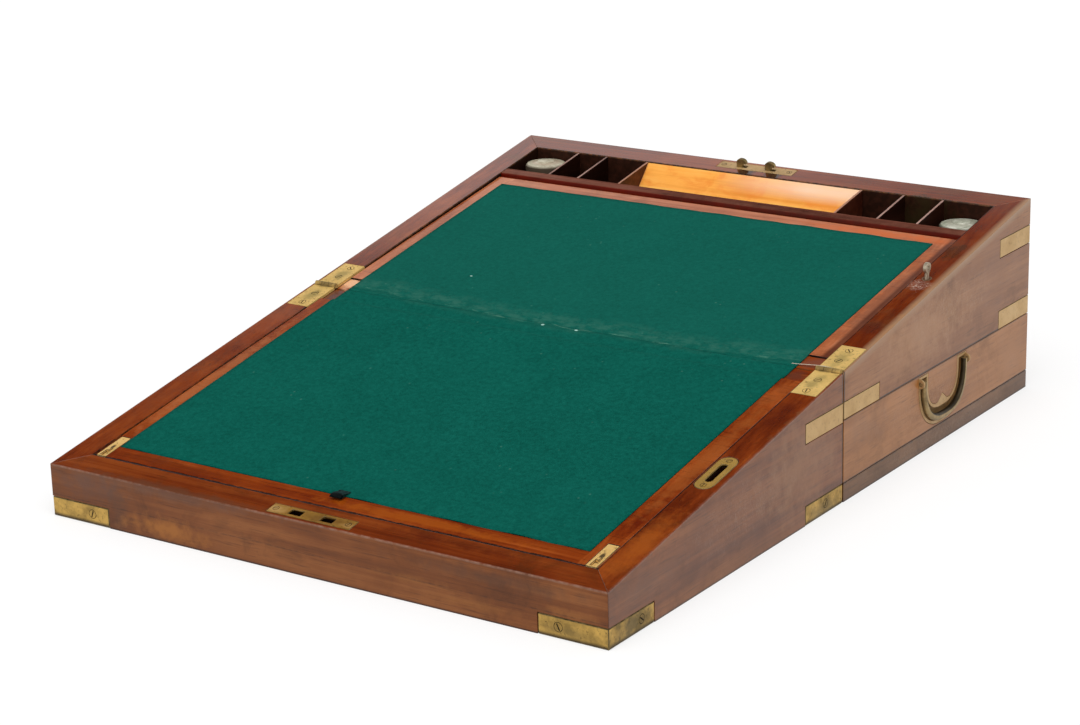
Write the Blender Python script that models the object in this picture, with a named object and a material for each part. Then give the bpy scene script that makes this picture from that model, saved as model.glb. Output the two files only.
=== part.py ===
"""Brass-bound travel writing box, opened out flat into a writing slope.

Frame: metres, +Z up, X along the box's width, y = 0 on the hinge line. The lid lies upside down at negative y,
the base with its drawer stands at positive y. The rims of both halves lie in one inclined plane.
"""
import math

import bmesh
import bpy
from mathutils import Matrix, Vector

MM = 0.001

# Overall size of the opened box
WIDTH = 406 * MM
HALF_DEPTH = 262 * MM
FRONT_HEIGHT = 33.5 * MM
BACK_HEIGHT = 132.5 * MM

# Gaps: glued joints, inlaid or sliding pieces, the joint between the halves, and the shut rims
GLUE = 0.15 * MM
CLEAR = 0.3 * MM
JOINT_GAP = 1.2 * MM
SHUT_GAP = 0.3 * MM
OVERSHOOT = 2 * MM

# Boards
WALL = 18.5 * MM
HINGE_WALL = 16 * MM
HINGE_WALL_DROP = 2 * MM
BASE_BOTTOM = 12 * MM
LID_BOARD = 10 * MM
DECK = 6 * MM
LEDGE = 6 * MM

# Writing flaps and their baize
FLAP = 7 * MM
FLAP_SIDE_GAP = 0.6 * MM
FLAP_END_GAP = 1.2 * MM
LID_FLAP_SINK = 0.3 * MM
BASE_FLAP_SINK_AT_HINGE = 1 * MM
BASE_FLAP_SINK_AT_RAIL = 2.2 * MM
BORDER_LEFT = 9.4 * MM
BORDER_RIGHT = 13.9 * MM
BORDER_FRONT = 13.6 * MM
BORDER_RAIL = 11 * MM
BAIZE = 1 * MM
BAIZE_PROUD = 0.3 * MM
FLAP_AXIS_RISE = 0.2 * MM
TAB_WIDTH = 12 * MM
TAB_LENGTH = 12 * MM
TAB_OVERLAP = 5 * MM
TAB_THICK = 1.2 * MM
TAB_X = -4 * MM

# Rail, dividers, pen tray and inkwells behind the base flap
COMPARTMENT = 40 * MM
RAIL = 7.5 * MM
RAIL_ROUND = 1.2 * MM
DIVIDER = 1.6 * MM
DIVIDER_DROP = 0.3 * MM
INK_GLASS = 30 * MM
INK_PLAY = 3.1 * MM
INK_BACK_PLAY = 0.5 * MM
INK_RIGHT_SHIFT = 2.4 * MM
INK_LEFT_HEIGHT = 51.6 * MM
INK_RIGHT_HEIGHT = 47.8 * MM
INK_CORNER = 5 * MM
INK_NECK_RADIUS = 12 * MM
INK_NECK_HEIGHT = 8 * MM
INK_BORE_RADIUS = 9 * MM
INK_BORE_DEPTH = 38 * MM
CAP_RADIUS = 15 * MM
CAP_HEIGHT = 13 * MM
CAP_TOP = 2.5 * MM
CAP_DOME = 1.8 * MM
CAP_BUTTON_RADIUS = 6 * MM
CAP_STEP = 0.7 * MM
LEFT_OUTER_SLOT = 23.05 * MM
LEFT_INNER_SLOT = 33.25 * MM
RIGHT_OUTER_SLOT = 27.9 * MM
RIGHT_INNER_SLOT = 30.8 * MM
TRAY_DROP = 0.7 * MM
TRAY_BOARD = 4 * MM
TRAY_SLOPE = math.radians(48)
TRAY_FLOOR_WIDTH = 9 * MM
TRAY_COVE_RADIUS = 12 * MM

# Drawer
DRAWER_FRONT_HEIGHT = 40.2 * MM
DRAWER_FRONT = 15 * MM
DRAWER_REVEAL = 0.4 * MM
DRAWER_SIDE = 7 * MM
DRAWER_SIDE_HEIGHT = 35 * MM
DRAWER_BOTTOM = 4 * MM
DRAWER_BOTTOM_RISE = 1.5 * MM
DRAWER_PLAY = 0.6 * MM
DRAWER_BACK_GAP = 2 * MM

# Swinging handles let into the drawer front and the left wall
HANDLE_HALF = 28.7 * MM
HANDLE_SHIFT = 3 * MM
HANDLE_PIVOT_DROP = 5.5 * MM
HANDLE_MARGIN = 1.2 * MM
HANDLE_SQUARENESS = 2.6
HANDLE_POINTS = 20
BAIL_RADIUS = 2 * MM
BAIL_SWELL = 0.5 * MM
BAIL_SIDES = 8
BAIL_STANDOFF = 1 * MM
BAIL_RISE = 1.2 * MM
FINGER_GAP = 3.4 * MM
PLATE_RIM = 2 * MM
PLATE_DEPTH = 6 * MM
PLATE_FLOOR = 1.2 * MM
PLATE_RISE = 4.2 * MM
PLATE_CUSP = 6 * MM
PLATE_CUSP_HALF = 12 * MM
EAR_REACH = 3.5 * MM
EAR_HALF = 3.2 * MM
LUG_RADIUS = 1.1 * MM

# Brass straps and corner brackets, let in flush
STRAP_LENGTH = 46 * MM
STRAP_HEIGHT = 12.5 * MM
BASE_HINGE_STRAP_HEIGHT = 11.2 * MM
STRAP = 1.5 * MM
BRACKET_FLANGE = 12.5 * MM
BACK_STRAP_DROP = 18 * MM
HINGE_STRAP_DROP = 19 * MM

# Butt hinges on the side rims
LEAF_LENGTH = 32.5 * MM
LEAF_WIDTH = 17 * MM
LEAF = 1.8 * MM
LEAF_INSET = 1.5 * MM
KNUCKLE_RADIUS = 1.8 * MM
HINGE_PIN_RADIUS = 0.8 * MM

# Lock in the back rim, and its strike plate on the lid's front rim
LOCK_X = -4 * MM
LOCK_INSET = 7.4 * MM
LOCK_FACE_LENGTH = 61 * MM
LOCK_FACE_WIDTH = 9.5 * MM
LOCK_FACE = 1.5 * MM
LOCK_CASE_LENGTH = 52 * MM
LOCK_CASE_DEPTH = 34 * MM
HOOK_SPACING = 23 * MM
HOOK_STEM = 4.4 * MM
HOOK_REACH = 3.4 * MM
HOOK_HEIGHT = 6.2 * MM
HOOK_UNDERCUT = 2.6 * MM
HOOK_LIP = 0.8 * MM
HOOK_THICK = 2.6 * MM
HOOK_BAR_TOP = 4 * MM
HOOK_BAR_BOTTOM = 9 * MM
HOOK_BAR_END = 2 * MM
HOOK_TRAVEL = 3.2 * MM
HOOK_PLAY = 0.6 * MM
STRIKE_SLOT_WIDTH = 5.2 * MM
STRIKE_MORTISE_DEPTH = 9 * MM
KEYHOLE_RADIUS = 3.2 * MM
KEYHOLE_SLOT_WIDTH = 3 * MM
KEYHOLE_SLOT_DROP = 9 * MM
KEYHOLE_DROP = 22 * MM
KEY_PLATE_WIDTH = 17 * MM
KEY_PLATE_HEIGHT = 27 * MM
KEY_PLATE = 1.2 * MM
KEY_BORE_DEPTH = 5 * MM

# Pin that locks the drawer, and the slotted plate on the lid that takes its head
PIN_INSET = 11 * MM
PIN_RADIUS = 1.5 * MM
PIN_NECK = 4 * MM
PIN_HEAD = 7 * MM
PIN_HEAD_THICK = 2.2 * MM
PIN_HEAD_HOLE = 1.6 * MM
PIN_TRAVEL = 3.8 * MM
PIN_NOTCH_WIDTH = 9 * MM
PIN_NOTCH_DEPTH = 11 * MM
PIN_NOTCH_PLAY = 1.1 * MM
PIN_PLATE_LENGTH = 38 * MM
PIN_PLATE_WIDTH = 12.6 * MM
PIN_PLATE = 1.5 * MM
PIN_SLOT_LENGTH = 21 * MM
PIN_SLOT_WIDTH = 4.4 * MM
PIN_SLOT_DEPTH = 16 * MM

# Sliding catches at the lid flap's front corners
CATCH_EDGE = 1 * MM
CATCH_LENGTH = 24 * MM
CATCH_PLATE = 1.2 * MM
CATCH_BOLT_WIDTH = 5.2 * MM
CATCH_BOLT_THICK = 2.4 * MM
CATCH_BOLT_LENGTH = 16 * MM
CATCH_BOLT_SETBACK = 0.6 * MM
CATCH_TRAVEL = 5 * MM
CATCH_NUB_WIDTH = 2.4 * MM
CATCH_NUB_LENGTH = 3 * MM
CATCH_NUB_BACK = 6 * MM
CATCH_NUB_RISE = 0.7 * MM
CATCH_MORTISE_ROOF = 1.1 * MM
CATCH_MORTISE_HEIGHT = 5.6 * MM
CATCH_MORTISE_DEPTH = 7.5 * MM
CATCH_MORTISE_PLAY = 0.6 * MM

ROUND_SIDES = 16
TURNED_SIDES = 32

# Derived places
HINGE_HEIGHT = (FRONT_HEIGHT + BACK_HEIGHT) / 2
SLOPE = (BACK_HEIGHT - FRONT_HEIGHT) / (2 * HALF_DEPTH)
TILT = math.atan(SLOPE)
INSIDE = WIDTH / 2 - WALL
JOINT_FACE = JOINT_GAP / 2
BACK_INSIDE = HALF_DEPTH - WALL
RAIL_BACK = BACK_INSIDE - COMPARTMENT
RAIL_FRONT = RAIL_BACK - RAIL
BAY_TOP = BASE_BOTTOM + DRAWER_FRONT_HEIGHT + 2 * DRAWER_REVEAL
DECK_TOP = BAY_TOP + DECK
FRONT_BACK = WIDTH / 2 - DRAWER_FRONT
INK_BAY = INK_GLASS + 2 * INK_PLAY
PIN_Y = HALF_DEPTH / 2
PIN_X = WIDTH / 2 - PIN_INSET
LOCK_Y = HALF_DEPTH - LOCK_INSET
HOOK_WIDTH = HOOK_STEM + HOOK_REACH
FLAP_HALF = INSIDE - FLAP_SIDE_GAP
FLAP_TOP = BAIZE_PROUD + FLAP_AXIS_RISE
CATCH_WIDTH = BORDER_LEFT - 2 * CATCH_EDGE
FLAP_UNDER = FLAP_TOP + FLAP
TRAY_LEFT = -INSIDE + INK_BAY + LEFT_OUTER_SLOT + LEFT_INNER_SLOT + 2 * DIVIDER
TRAY_RIGHT = INSIDE - INK_BAY - RIGHT_OUTER_SLOT - RIGHT_INNER_SLOT - 2 * DIVIDER
BAND_OUT = BAIL_RADIUS + BAIL_SWELL + CLEAR
BAND_IN = BAIL_RADIUS + BAIL_SWELL + FINGER_GAP
HANDLE_DROP = DRAWER_FRONT_HEIGHT - HANDLE_PIVOT_DROP - BAND_OUT - PLATE_RIM - HANDLE_MARGIN
HANDLE_PIVOT_Z = BAY_TOP - DRAWER_REVEAL - HANDLE_PIVOT_DROP
HANDLE_Y = HALF_DEPTH / 2 + HANDLE_SHIFT


def rim(y):
    """Height of the rim plane at a depth y."""
    return HINGE_HEIGHT + SLOPE * y


def below_rim(y, depth):
    """Height of the plane that lies a square distance below the rim plane."""
    return rim(y) - depth / math.cos(TILT)


RIM_FRAME = Matrix.Translation((0, 0, HINGE_HEIGHT)) @ Matrix.Rotation(TILT, 4, "X")
LID_AXIS = RIM_FRAME @ Vector((0, 0, SHUT_GAP / 2))

# Lid flap: its lower edge clears the leaning hinge wall, so the axis stands a little further in
LID_FLAP_AXIS_Y = -(HINGE_WALL + CLEAR + FLAP_UNDER * math.sin(TILT))
LID_FLAP_AXIS_Z = below_rim(LID_FLAP_AXIS_Y, LID_FLAP_SINK - FLAP_TOP)
LID_FLAP_REACH = BACK_INSIDE - FLAP_END_GAP + LID_FLAP_AXIS_Y + FLAP_TOP * math.sin(TILT)
LID_FLAP_LENGTH = LID_FLAP_REACH / math.cos(TILT)
LID_FLAP_FRAME = Matrix.Translation((0, LID_FLAP_AXIS_Y, LID_FLAP_AXIS_Z)) @ Matrix.Rotation(TILT, 4, "X")

# Base flap: it sinks towards the rail
BASE_FLAP_AXIS_Y = HINGE_WALL + CLEAR
BASE_FLAP_AXIS_Z = below_rim(BASE_FLAP_AXIS_Y, BASE_FLAP_SINK_AT_HINGE - FLAP_TOP)
BASE_FLAP_SPAN = RAIL_FRONT - FLAP_END_GAP - BASE_FLAP_AXIS_Y
BASE_FLAP_SINKING = BASE_FLAP_SINK_AT_RAIL - BASE_FLAP_SINK_AT_HINGE
BASE_FLAP_TILT = TILT - math.atan2(BASE_FLAP_SINKING, BASE_FLAP_SPAN)
BASE_FLAP_REACH = BASE_FLAP_SPAN - FLAP_UNDER * math.sin(BASE_FLAP_TILT)
BASE_FLAP_LENGTH = BASE_FLAP_REACH / math.cos(BASE_FLAP_TILT)
BASE_FLAP_TURN = Matrix.Rotation(BASE_FLAP_TILT, 4, "X")
BASE_FLAP_FRAME = Matrix.Translation((0, BASE_FLAP_AXIS_Y, BASE_FLAP_AXIS_Z)) @ BASE_FLAP_TURN


def base_flap_seat(y):
    """Height of the ledges that carry the base flap."""
    under = (FLAP_UNDER + CLEAR) / math.cos(BASE_FLAP_TILT)
    return BASE_FLAP_AXIS_Z + (y - BASE_FLAP_AXIS_Y) * math.tan(BASE_FLAP_TILT) - under


def lid_flap_seat(y):
    """Height of the ledges that carry the lid flap."""
    return below_rim(y, LID_FLAP_SINK + FLAP + CLEAR)


# Building tools

def material(name, colour, roughness, metallic=0.0):
    made = bpy.data.materials.new(name)
    made.use_nodes = True
    surface = made.node_tree.nodes["Principled BSDF"]
    surface.inputs["Base Color"].default_value = (*colour, 1)
    surface.inputs["Roughness"].default_value = roughness
    surface.inputs["Metallic"].default_value = metallic
    return made


def from_bmesh(name, shape, frame=None):
    """Turn a bmesh into an object, placed by a frame where one is given."""
    bmesh.ops.recalc_face_normals(shape, faces=shape.faces)
    if frame is not None:
        bmesh.ops.transform(shape, matrix=frame, verts=shape.verts)
    mesh = bpy.data.meshes.new(name)
    shape.to_mesh(mesh)
    shape.free()
    made = bpy.data.objects.new(name, mesh)
    bpy.context.collection.objects.link(made)
    return made


def prism(name, outline, along, low, high, frame=None):
    """Extrude a closed outline along X, Y or Z. The outline's two values are the other two axes, in order."""
    turns = {"X": lambda a, b: (low, a, b), "Y": lambda a, b: (a, low, b), "Z": lambda a, b: (a, b, low)}
    step = {"X": Vector((1, 0, 0)), "Y": Vector((0, 1, 0)), "Z": Vector((0, 0, 1))}[along] * (high - low)
    shape = bmesh.new()
    face = shape.faces.new([shape.verts.new(turns[along](a, b)) for a, b in outline])
    grown = bmesh.ops.extrude_face_region(shape, geom=[face])["geom"]
    bmesh.ops.translate(shape, vec=step, verts=[v for v in grown if isinstance(v, bmesh.types.BMVert)])
    return from_bmesh(name, shape, frame)


def rectangle(low_a, low_b, high_a, high_b):
    return [(low_a, low_b), (high_a, low_b), (high_a, high_b), (low_a, high_b)]


def box(name, low, high, frame=None):
    return prism(name, rectangle(low[0], low[1], high[0], high[1]), "Z", low[2], high[2], frame)


def circle(centre_a, centre_b, radius, sides=ROUND_SIDES):
    turns = [2 * math.pi * (i + 0.5) / sides for i in range(sides)]
    return [(centre_a + radius * math.cos(t), centre_b + radius * math.sin(t)) for t in turns]


def stadium(length, width, arc_sides=8):
    """Outline with straight sides along the second value and round ends."""
    radius = width / 2
    straight = length / 2 - radius
    turns = [math.pi * i / arc_sides for i in range(arc_sides + 1)]
    far = [(radius * math.cos(t), straight + radius * math.sin(t)) for t in turns]
    return far + [(-a, -b) for a, b in far]


def lathe(name, profile, centre, sides=TURNED_SIDES):
    """Turn a closed profile of radius and height about a vertical axis. A radius of 0 is a pole."""
    shape = bmesh.new()
    rings = []
    for radius, height in profile:
        count = sides if radius > 0 else 1
        turns = [2 * math.pi * i / sides for i in range(count)]
        spots = [(radius * math.cos(t), radius * math.sin(t), height) for t in turns]
        rings.append([shape.verts.new(Vector(spot) + Vector(centre)) for spot in spots])
    for ring, following in zip(rings, rings[1:] + rings[:1]):
        if len(ring) == 1 and len(following) == 1:
            continue
        for i in range(sides):
            j = (i + 1) % sides
            corners = [ring[i % len(ring)], ring[j % len(ring)], following[j % len(following)],
                       following[i % len(following)]]
            shape.faces.new(list(dict.fromkeys(corners)))
    return from_bmesh(name, shape)


def combine(target, tool, operation):
    """Boolean one solid into another and drop the tool."""
    modifier = target.modifiers.new("combine", "BOOLEAN")
    modifier.operation = operation
    modifier.solver = "EXACT"
    modifier.object = tool
    result = bpy.data.meshes.new_from_object(target.evaluated_get(bpy.context.evaluated_depsgraph_get()))
    target.modifiers.remove(modifier)
    target.data = result
    bpy.data.objects.remove(tool)


def cut(target, *tools):
    for tool in tools:
        combine(target, tool, "DIFFERENCE")


def fuse(target, *tools):
    for tool in tools:
        combine(target, tool, "UNION")


def place(target, frame):
    """Move a finished solid from its own frame into the box's frame."""
    target.data.transform(frame)
    return target


def trim(target, point, normal):
    """Cut a solid off on the side that the normal points to."""
    shape = bmesh.new()
    shape.from_mesh(target.data)
    everything = shape.verts[:] + shape.edges[:] + shape.faces[:]
    bmesh.ops.bisect_plane(shape, geom=everything, plane_co=point, plane_no=normal, clear_outer=True)
    bmesh.ops.holes_fill(shape, edges=[e for e in shape.edges if e.is_boundary])
    bmesh.ops.recalc_face_normals(shape, faces=shape.faces)
    shape.to_mesh(target.data)
    shape.free()


def mitre(target, side, corner_y, inward, runs_across):
    """Mitre a wall at a vertical corner. inward is the sign of y towards the inside of the box."""
    normal = Vector((side, inward, 0)).normalized() * (1 if runs_across else -1)
    corner = Vector((side * WIDTH / 2, corner_y, 0))
    trim(target, corner - normal * GLUE / 2, normal)


def finish(part, look, carrier):
    """Give a solid its material and hang it on the empty that carries it."""
    part.data.materials.clear()
    part.data.materials.append(look)
    part.data.transform(carrier.matrix_world.inverted())
    part.parent = carrier
    part.data.shade_smooth()
    part.data.set_sharp_from_angle(angle=math.radians(30))
    return part


def carrier(name, place, parent=None):
    """Empty on a joint's axis, or at the origin for the base."""
    made = bpy.data.objects.new(name, None)
    bpy.context.collection.objects.link(made)
    made.parent = parent
    made.matrix_world = place if isinstance(place, Matrix) else Matrix.Translation(place)
    bpy.context.view_layer.update()
    return made


# Walls of the two halves

def side_wall(name, side, front, back, bottom):
    """Board along the depth, under the sloping rim."""
    outline = [(front, bottom), (back, bottom), (back, rim(back)), (front, rim(front))]
    low, high = sorted((side * INSIDE, side * WIDTH / 2))
    return prism(name, outline, "X", low, high)


def cross_wall(name, outer, inner, ledge_heights=None):
    """Board across the width, under the sloping rim, with a ledge inside where heights are given."""
    outline = [(outer, 0), (outer, rim(outer)), (inner, rim(inner))]
    if ledge_heights:
        outline += ledge_outline(inner, ledge_heights)
    return prism(name, outline + [(inner, 0)], "X", -WIDTH / 2, WIDTH / 2)


def ledge_outline(face, seat):
    """Ledge that stands out of an upright face, on the side that faces the flap."""
    out = face + math.copysign(LEDGE, -face) if abs(face) > HALF_DEPTH / 2 else face + math.copysign(LEDGE, face)
    return [(face, seat(face)), (out, seat(out)), (out, seat(out) - LEDGE), (face, seat(out) - LEDGE)]


def hinge_wall(name, sign, seat):
    """Board at the hinge line, lower than the rim so that the baize crosses over it."""
    outer = sign * JOINT_FACE
    inner = sign * HINGE_WALL
    outline = [(outer, 0), (outer, below_rim(outer, HINGE_WALL_DROP)), (inner, below_rim(inner, HINGE_WALL_DROP))]
    outline += ledge_outline(inner, seat) + [(inner, 0)]
    return prism(name, outline, "X", -INSIDE + GLUE, INSIDE - GLUE)


# Brass straps and brackets

def corner_outline(side, corner_y, inward, leg, thick, out=0.0):
    """Plan of an angle that wraps a vertical corner of the box."""
    x = side * WIDTH / 2
    return [(x + side * out, corner_y - inward * out), (x - side * leg, corner_y - inward * out),
            (x - side * leg, corner_y + inward * thick), (x - side * thick, corner_y + inward * thick),
            (x - side * thick, corner_y + inward * leg), (x + side * out, corner_y + inward * leg)]


def strap(name, side, corner_y, inward, bottom, height=STRAP_HEIGHT):
    outline = corner_outline(side, corner_y, inward, STRAP_LENGTH, STRAP)
    return prism(name, outline, "Z", bottom, bottom + height)


def strap_pocket(side, corner_y, inward, bottom, height=STRAP_HEIGHT):
    outline = corner_outline(side, corner_y, inward, STRAP_LENGTH + CLEAR, STRAP + CLEAR, OVERSHOOT)
    return prism("pocket", outline, "Z", bottom - CLEAR, bottom + height + CLEAR)


def bracket(name, side, corner_y, inward):
    """Strap along the bottom edge with a flange under the board."""
    made = strap(name, side, corner_y, inward, 0)
    flange = corner_outline(side, corner_y, inward, STRAP_LENGTH, BRACKET_FLANGE)
    fuse(made, prism("flange", flange, "Z", 0, STRAP))
    return made


def flange_pocket(side, corner_y, inward):
    outline = corner_outline(side, corner_y, inward, STRAP_LENGTH + CLEAR, BRACKET_FLANGE + CLEAR, OVERSHOOT)
    return prism("pocket", outline, "Z", -OVERSHOOT, STRAP + CLEAR)


# Hinges

def leaf_span(side):
    """Lowest and highest x of a hinge leaf."""
    outer = side * (WIDTH / 2 - LEAF_INSET)
    inner = side * (WIDTH / 2 - LEAF_INSET - LEAF_WIDTH)
    return min(outer, inner), max(outer, inner)


def knuckle_span(low, number):
    """Span of one of the three knuckles along a leaf."""
    length = (LEAF_WIDTH - 2 * CLEAR) / 3
    start = low + number * (length + CLEAR)
    return start, start + length


def barrel(low, high, radius, frame=None):
    return prism("barrel", circle(0, SHUT_GAP / 2, radius), "X", low, high, frame)


def hinge_leaf(name, side, sign, places, has_pin):
    """Leaf let into the rim on one side of the hinge line, with its knuckles."""
    low, high = leaf_span(side)
    root = sign * (KNUCKLE_RADIUS + CLEAR)
    near, far = sorted((root, sign * LEAF_LENGTH))
    made = box(name, (low, near, -LEAF), (high, far, 0))
    for number in places:
        start, end = knuckle_span(low, number)
        near, far = sorted((0, root + sign * CLEAR))
        fuse(made, box("root", (start, near, -LEAF), (end, far, 0)), barrel(start, end, KNUCKLE_RADIUS))
    if has_pin:
        fuse(made, barrel(low + CLEAR, high - CLEAR, HINGE_PIN_RADIUS))
    else:
        cut(made, barrel(low - OVERSHOOT, high + OVERSHOOT, HINGE_PIN_RADIUS + CLEAR))
    return place(made, RIM_FRAME)


def cut_hinge_seat(wall, side, sign):
    """Pocket for a leaf and the notch for the knuckles."""
    low, high = leaf_span(side)
    near, far = sorted((0, sign * (LEAF_LENGTH + CLEAR)))
    pocket = box("pocket", (low - CLEAR, near, -LEAF - CLEAR), (high + CLEAR, far, OVERSHOOT), RIM_FRAME)
    cut(wall, pocket, barrel(low - CLEAR, high + CLEAR, KNUCKLE_RADIUS + CLEAR, RIM_FRAME))


# Handles

def handle_path():
    """Centre line of a hanging bail, from pivot to pivot, as depth and height from the pivots' middle."""
    points = []
    for i in range(HANDLE_POINTS + 1):
        turn = math.pi * i / HANDLE_POINTS
        across = math.copysign(abs(math.cos(turn)) ** (2 / HANDLE_SQUARENESS), -math.cos(turn))
        points.append((HANDLE_HALF * across, -HANDLE_DROP * math.sin(turn) ** (2 / HANDLE_SQUARENESS)))
    return points


def normals(points):
    """Unit normals of an open path, pointing out of the U."""
    found = []
    for i in range(len(points)):
        before = points[max(i - 1, 0)]
        after = points[min(i + 1, len(points) - 1)]
        along = Vector((after[0] - before[0], after[1] - before[1])).normalized()
        found.append((along.y, -along.x))
    found[0] = (-1, 0)
    found[-1] = (1, 0)
    return found


def band(outside, inside, rise, cusp=0.0):
    """Outline of the U-shaped band between two offsets of the bail's centre line."""
    points = handle_path()
    outward = normals(points)
    outer = [(a + n[0] * outside, b + n[1] * outside) for (a, b), n in zip(points, outward)]
    inner = []
    for (a, b), n in zip(points, outward):
        point = cusp * max(0.0, 1 - abs(a) / PLATE_CUSP_HALF) ** 2 if cusp else 0.0
        inner.append((a - n[0] * inside, b - n[1] * inside + point))
    top = [(outer[-1][0], rise), (inner[-1][0], rise)]
    return [(outer[0][0], rise)] + outer + top + inner[::-1] + [(inner[0][0], rise)]


def on_side(side, outline):
    """Shift an outline from the pivots' middle to its place on the box's end."""
    return [(HANDLE_Y + a, HANDLE_PIVOT_Z + b) for a, b in outline]


def outward_prism(side, outline, low, high):
    """Extrude outwards from the end face: low and high are measured out of that face."""
    start, end = sorted((side * (WIDTH / 2 + low), side * (WIDTH / 2 + high)))
    return prism("side", on_side(side, outline), "X", start, end)


def handle_plate(name, side):
    """Cast U-shaped plate with a channel for the bail and two ears that hold it."""
    made = outward_prism(side, band(BAND_OUT + PLATE_RIM, BAND_IN + PLATE_RIM, PLATE_RISE, PLATE_CUSP),
                         -PLATE_DEPTH, 0)
    made.name = name
    channel_top = BAIL_RISE + BAIL_RADIUS / 2 + CLEAR
    cut(made, outward_prism(side, band(BAND_OUT, BAND_IN, channel_top), PLATE_FLOOR - PLATE_DEPTH, OVERSHOOT))
    for end in (-1, 1):
        low, high = sorted((end * (HANDLE_HALF + BAND_OUT + CLEAR), end * (HANDLE_HALF + BAND_OUT + PLATE_RIM - CLEAR)))
        ear = [(side * (WIDTH / 2 - PLATE_DEPTH + PLATE_FLOOR), HANDLE_PIVOT_Z - EAR_HALF),
               (side * (WIDTH / 2 - PLATE_DEPTH + PLATE_FLOOR), HANDLE_PIVOT_Z + EAR_HALF)]
        turns = [math.pi * (0.5 - i / 8) for i in range(9)]
        centre = EAR_REACH - EAR_HALF
        ear += [(side * (WIDTH / 2 + centre + EAR_HALF * math.cos(t)), HANDLE_PIVOT_Z + EAR_HALF * math.sin(t))
                for t in turns]
        fuse(made, prism("ear", ear, "Y", HANDLE_Y + low, HANDLE_Y + high))
        hole = circle(side * (WIDTH / 2 + BAIL_STANDOFF), HANDLE_PIVOT_Z, LUG_RADIUS + CLEAR)
        far = high + OVERSHOOT if end > 0 else low - OVERSHOOT
        near = low - OVERSHOOT if end > 0 else high + OVERSHOOT
        start, stop = sorted((near, far))
        cut(made, prism("hole", hole, "Y", HANDLE_Y + start, HANDLE_Y + stop))
    return made


def handle_mortise(side):
    outline = band(BAND_OUT + PLATE_RIM + CLEAR, BAND_IN + PLATE_RIM + CLEAR, PLATE_RISE + CLEAR, PLATE_CUSP)
    return outward_prism(side, outline, -PLATE_DEPTH - CLEAR, OVERSHOOT)


def bail(name, side):
    """Swinging loop, swelled at the grip, with a lug at each end that sits in the plate's ears."""
    points = handle_path()
    outward = normals(points)
    points = [(points[0][0], BAIL_RISE)] + points + [(points[-1][0], BAIL_RISE)]
    outward = [outward[0]] + outward + [outward[-1]]
    x = side * (WIDTH / 2 + BAIL_STANDOFF)
    shape = bmesh.new()
    rings = []
    for (a, b), n in zip(points, outward):
        radius = BAIL_RADIUS + BAIL_SWELL * max(0.0, -b / HANDLE_DROP) ** 2
        ring = []
        for i in range(BAIL_SIDES):
            turn = 2 * math.pi * (i + 0.5) / BAIL_SIDES
            out = radius * math.cos(turn)
            spot = (x + radius * math.sin(turn), HANDLE_Y + a + n[0] * out, HANDLE_PIVOT_Z + b + n[1] * out)
            ring.append(shape.verts.new(spot))
        rings.append(ring)
    for ring, following in zip(rings, rings[1:]):
        for i in range(BAIL_SIDES):
            j = (i + 1) % BAIL_SIDES
            shape.faces.new((ring[i], ring[j], following[j], following[i]))
    shape.faces.new(rings[0])
    shape.faces.new(rings[-1])
    made = from_bmesh(name, shape)
    for end in (-1, 1):
        low, high = sorted((end * HANDLE_HALF, end * (HANDLE_HALF + BAND_OUT + PLATE_RIM - CLEAR)))
        fuse(made, prism("lug", circle(x, HANDLE_PIVOT_Z, LUG_RADIUS), "Y", HANDLE_Y + low, HANDLE_Y + high))
    return made


# Lock, strike plate and drawer pin

def lock_profile(depth, grow=0.0, above=0.0):
    """Section of the lock in the back rim: upright sides under the sloping face."""
    near = LOCK_Y - LOCK_FACE_WIDTH / 2 - grow
    far = LOCK_Y + LOCK_FACE_WIDTH / 2 + grow
    bottom = rim(LOCK_Y) - depth - grow
    return [(near, bottom), (far, bottom), (far, rim(far) + above), (near, rim(near) + above)]


def lock_prism(length, depth, grow=0.0, above=0.0):
    half = length / 2 + grow
    return prism("lock", lock_profile(depth, grow, above), "X", LOCK_X - half, LOCK_X + half)


def hook_starts():
    """Left edges of the two hooks at rest."""
    first = LOCK_X - (HOOK_SPACING + HOOK_WIDTH) / 2
    return first, first + HOOK_SPACING


def lock_frame(sign):
    """Frame on the rim above the lock, or on the lid's rim where the strike plate meets it."""
    return RIM_FRAME @ Matrix.Translation((0, sign * LOCK_Y / math.cos(TILT), 0))


def lock_case(name):
    """Case and face plate, hollow where the bolt slides."""
    made = lock_prism(LOCK_CASE_LENGTH, LOCK_CASE_DEPTH)
    made.name = name
    fuse(made, lock_prism(LOCK_FACE_LENGTH, LOCK_FACE))
    frame = lock_frame(1)
    half = HOOK_THICK / 2 + CLEAR
    first, last = hook_starts()
    hollow = box("hollow", (first - HOOK_BAR_END - CLEAR, -half - CLEAR, -HOOK_BAR_BOTTOM - CLEAR),
                 (last + HOOK_WIDTH + HOOK_BAR_END + HOOK_TRAVEL + CLEAR, half + CLEAR, -HOOK_BAR_TOP + CLEAR), frame)
    cut(made, hollow)
    for start in (first, last):
        cut(made, box("slot", (start - CLEAR, -half, -HOOK_BAR_TOP - CLEAR),
                      (start + HOOK_STEM + HOOK_TRAVEL + CLEAR, half, OVERSHOOT), frame))
    cut(made, key_bore(LOCK_Y + LOCK_FACE_WIDTH / 2 - KEY_BORE_DEPTH))
    return made


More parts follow.
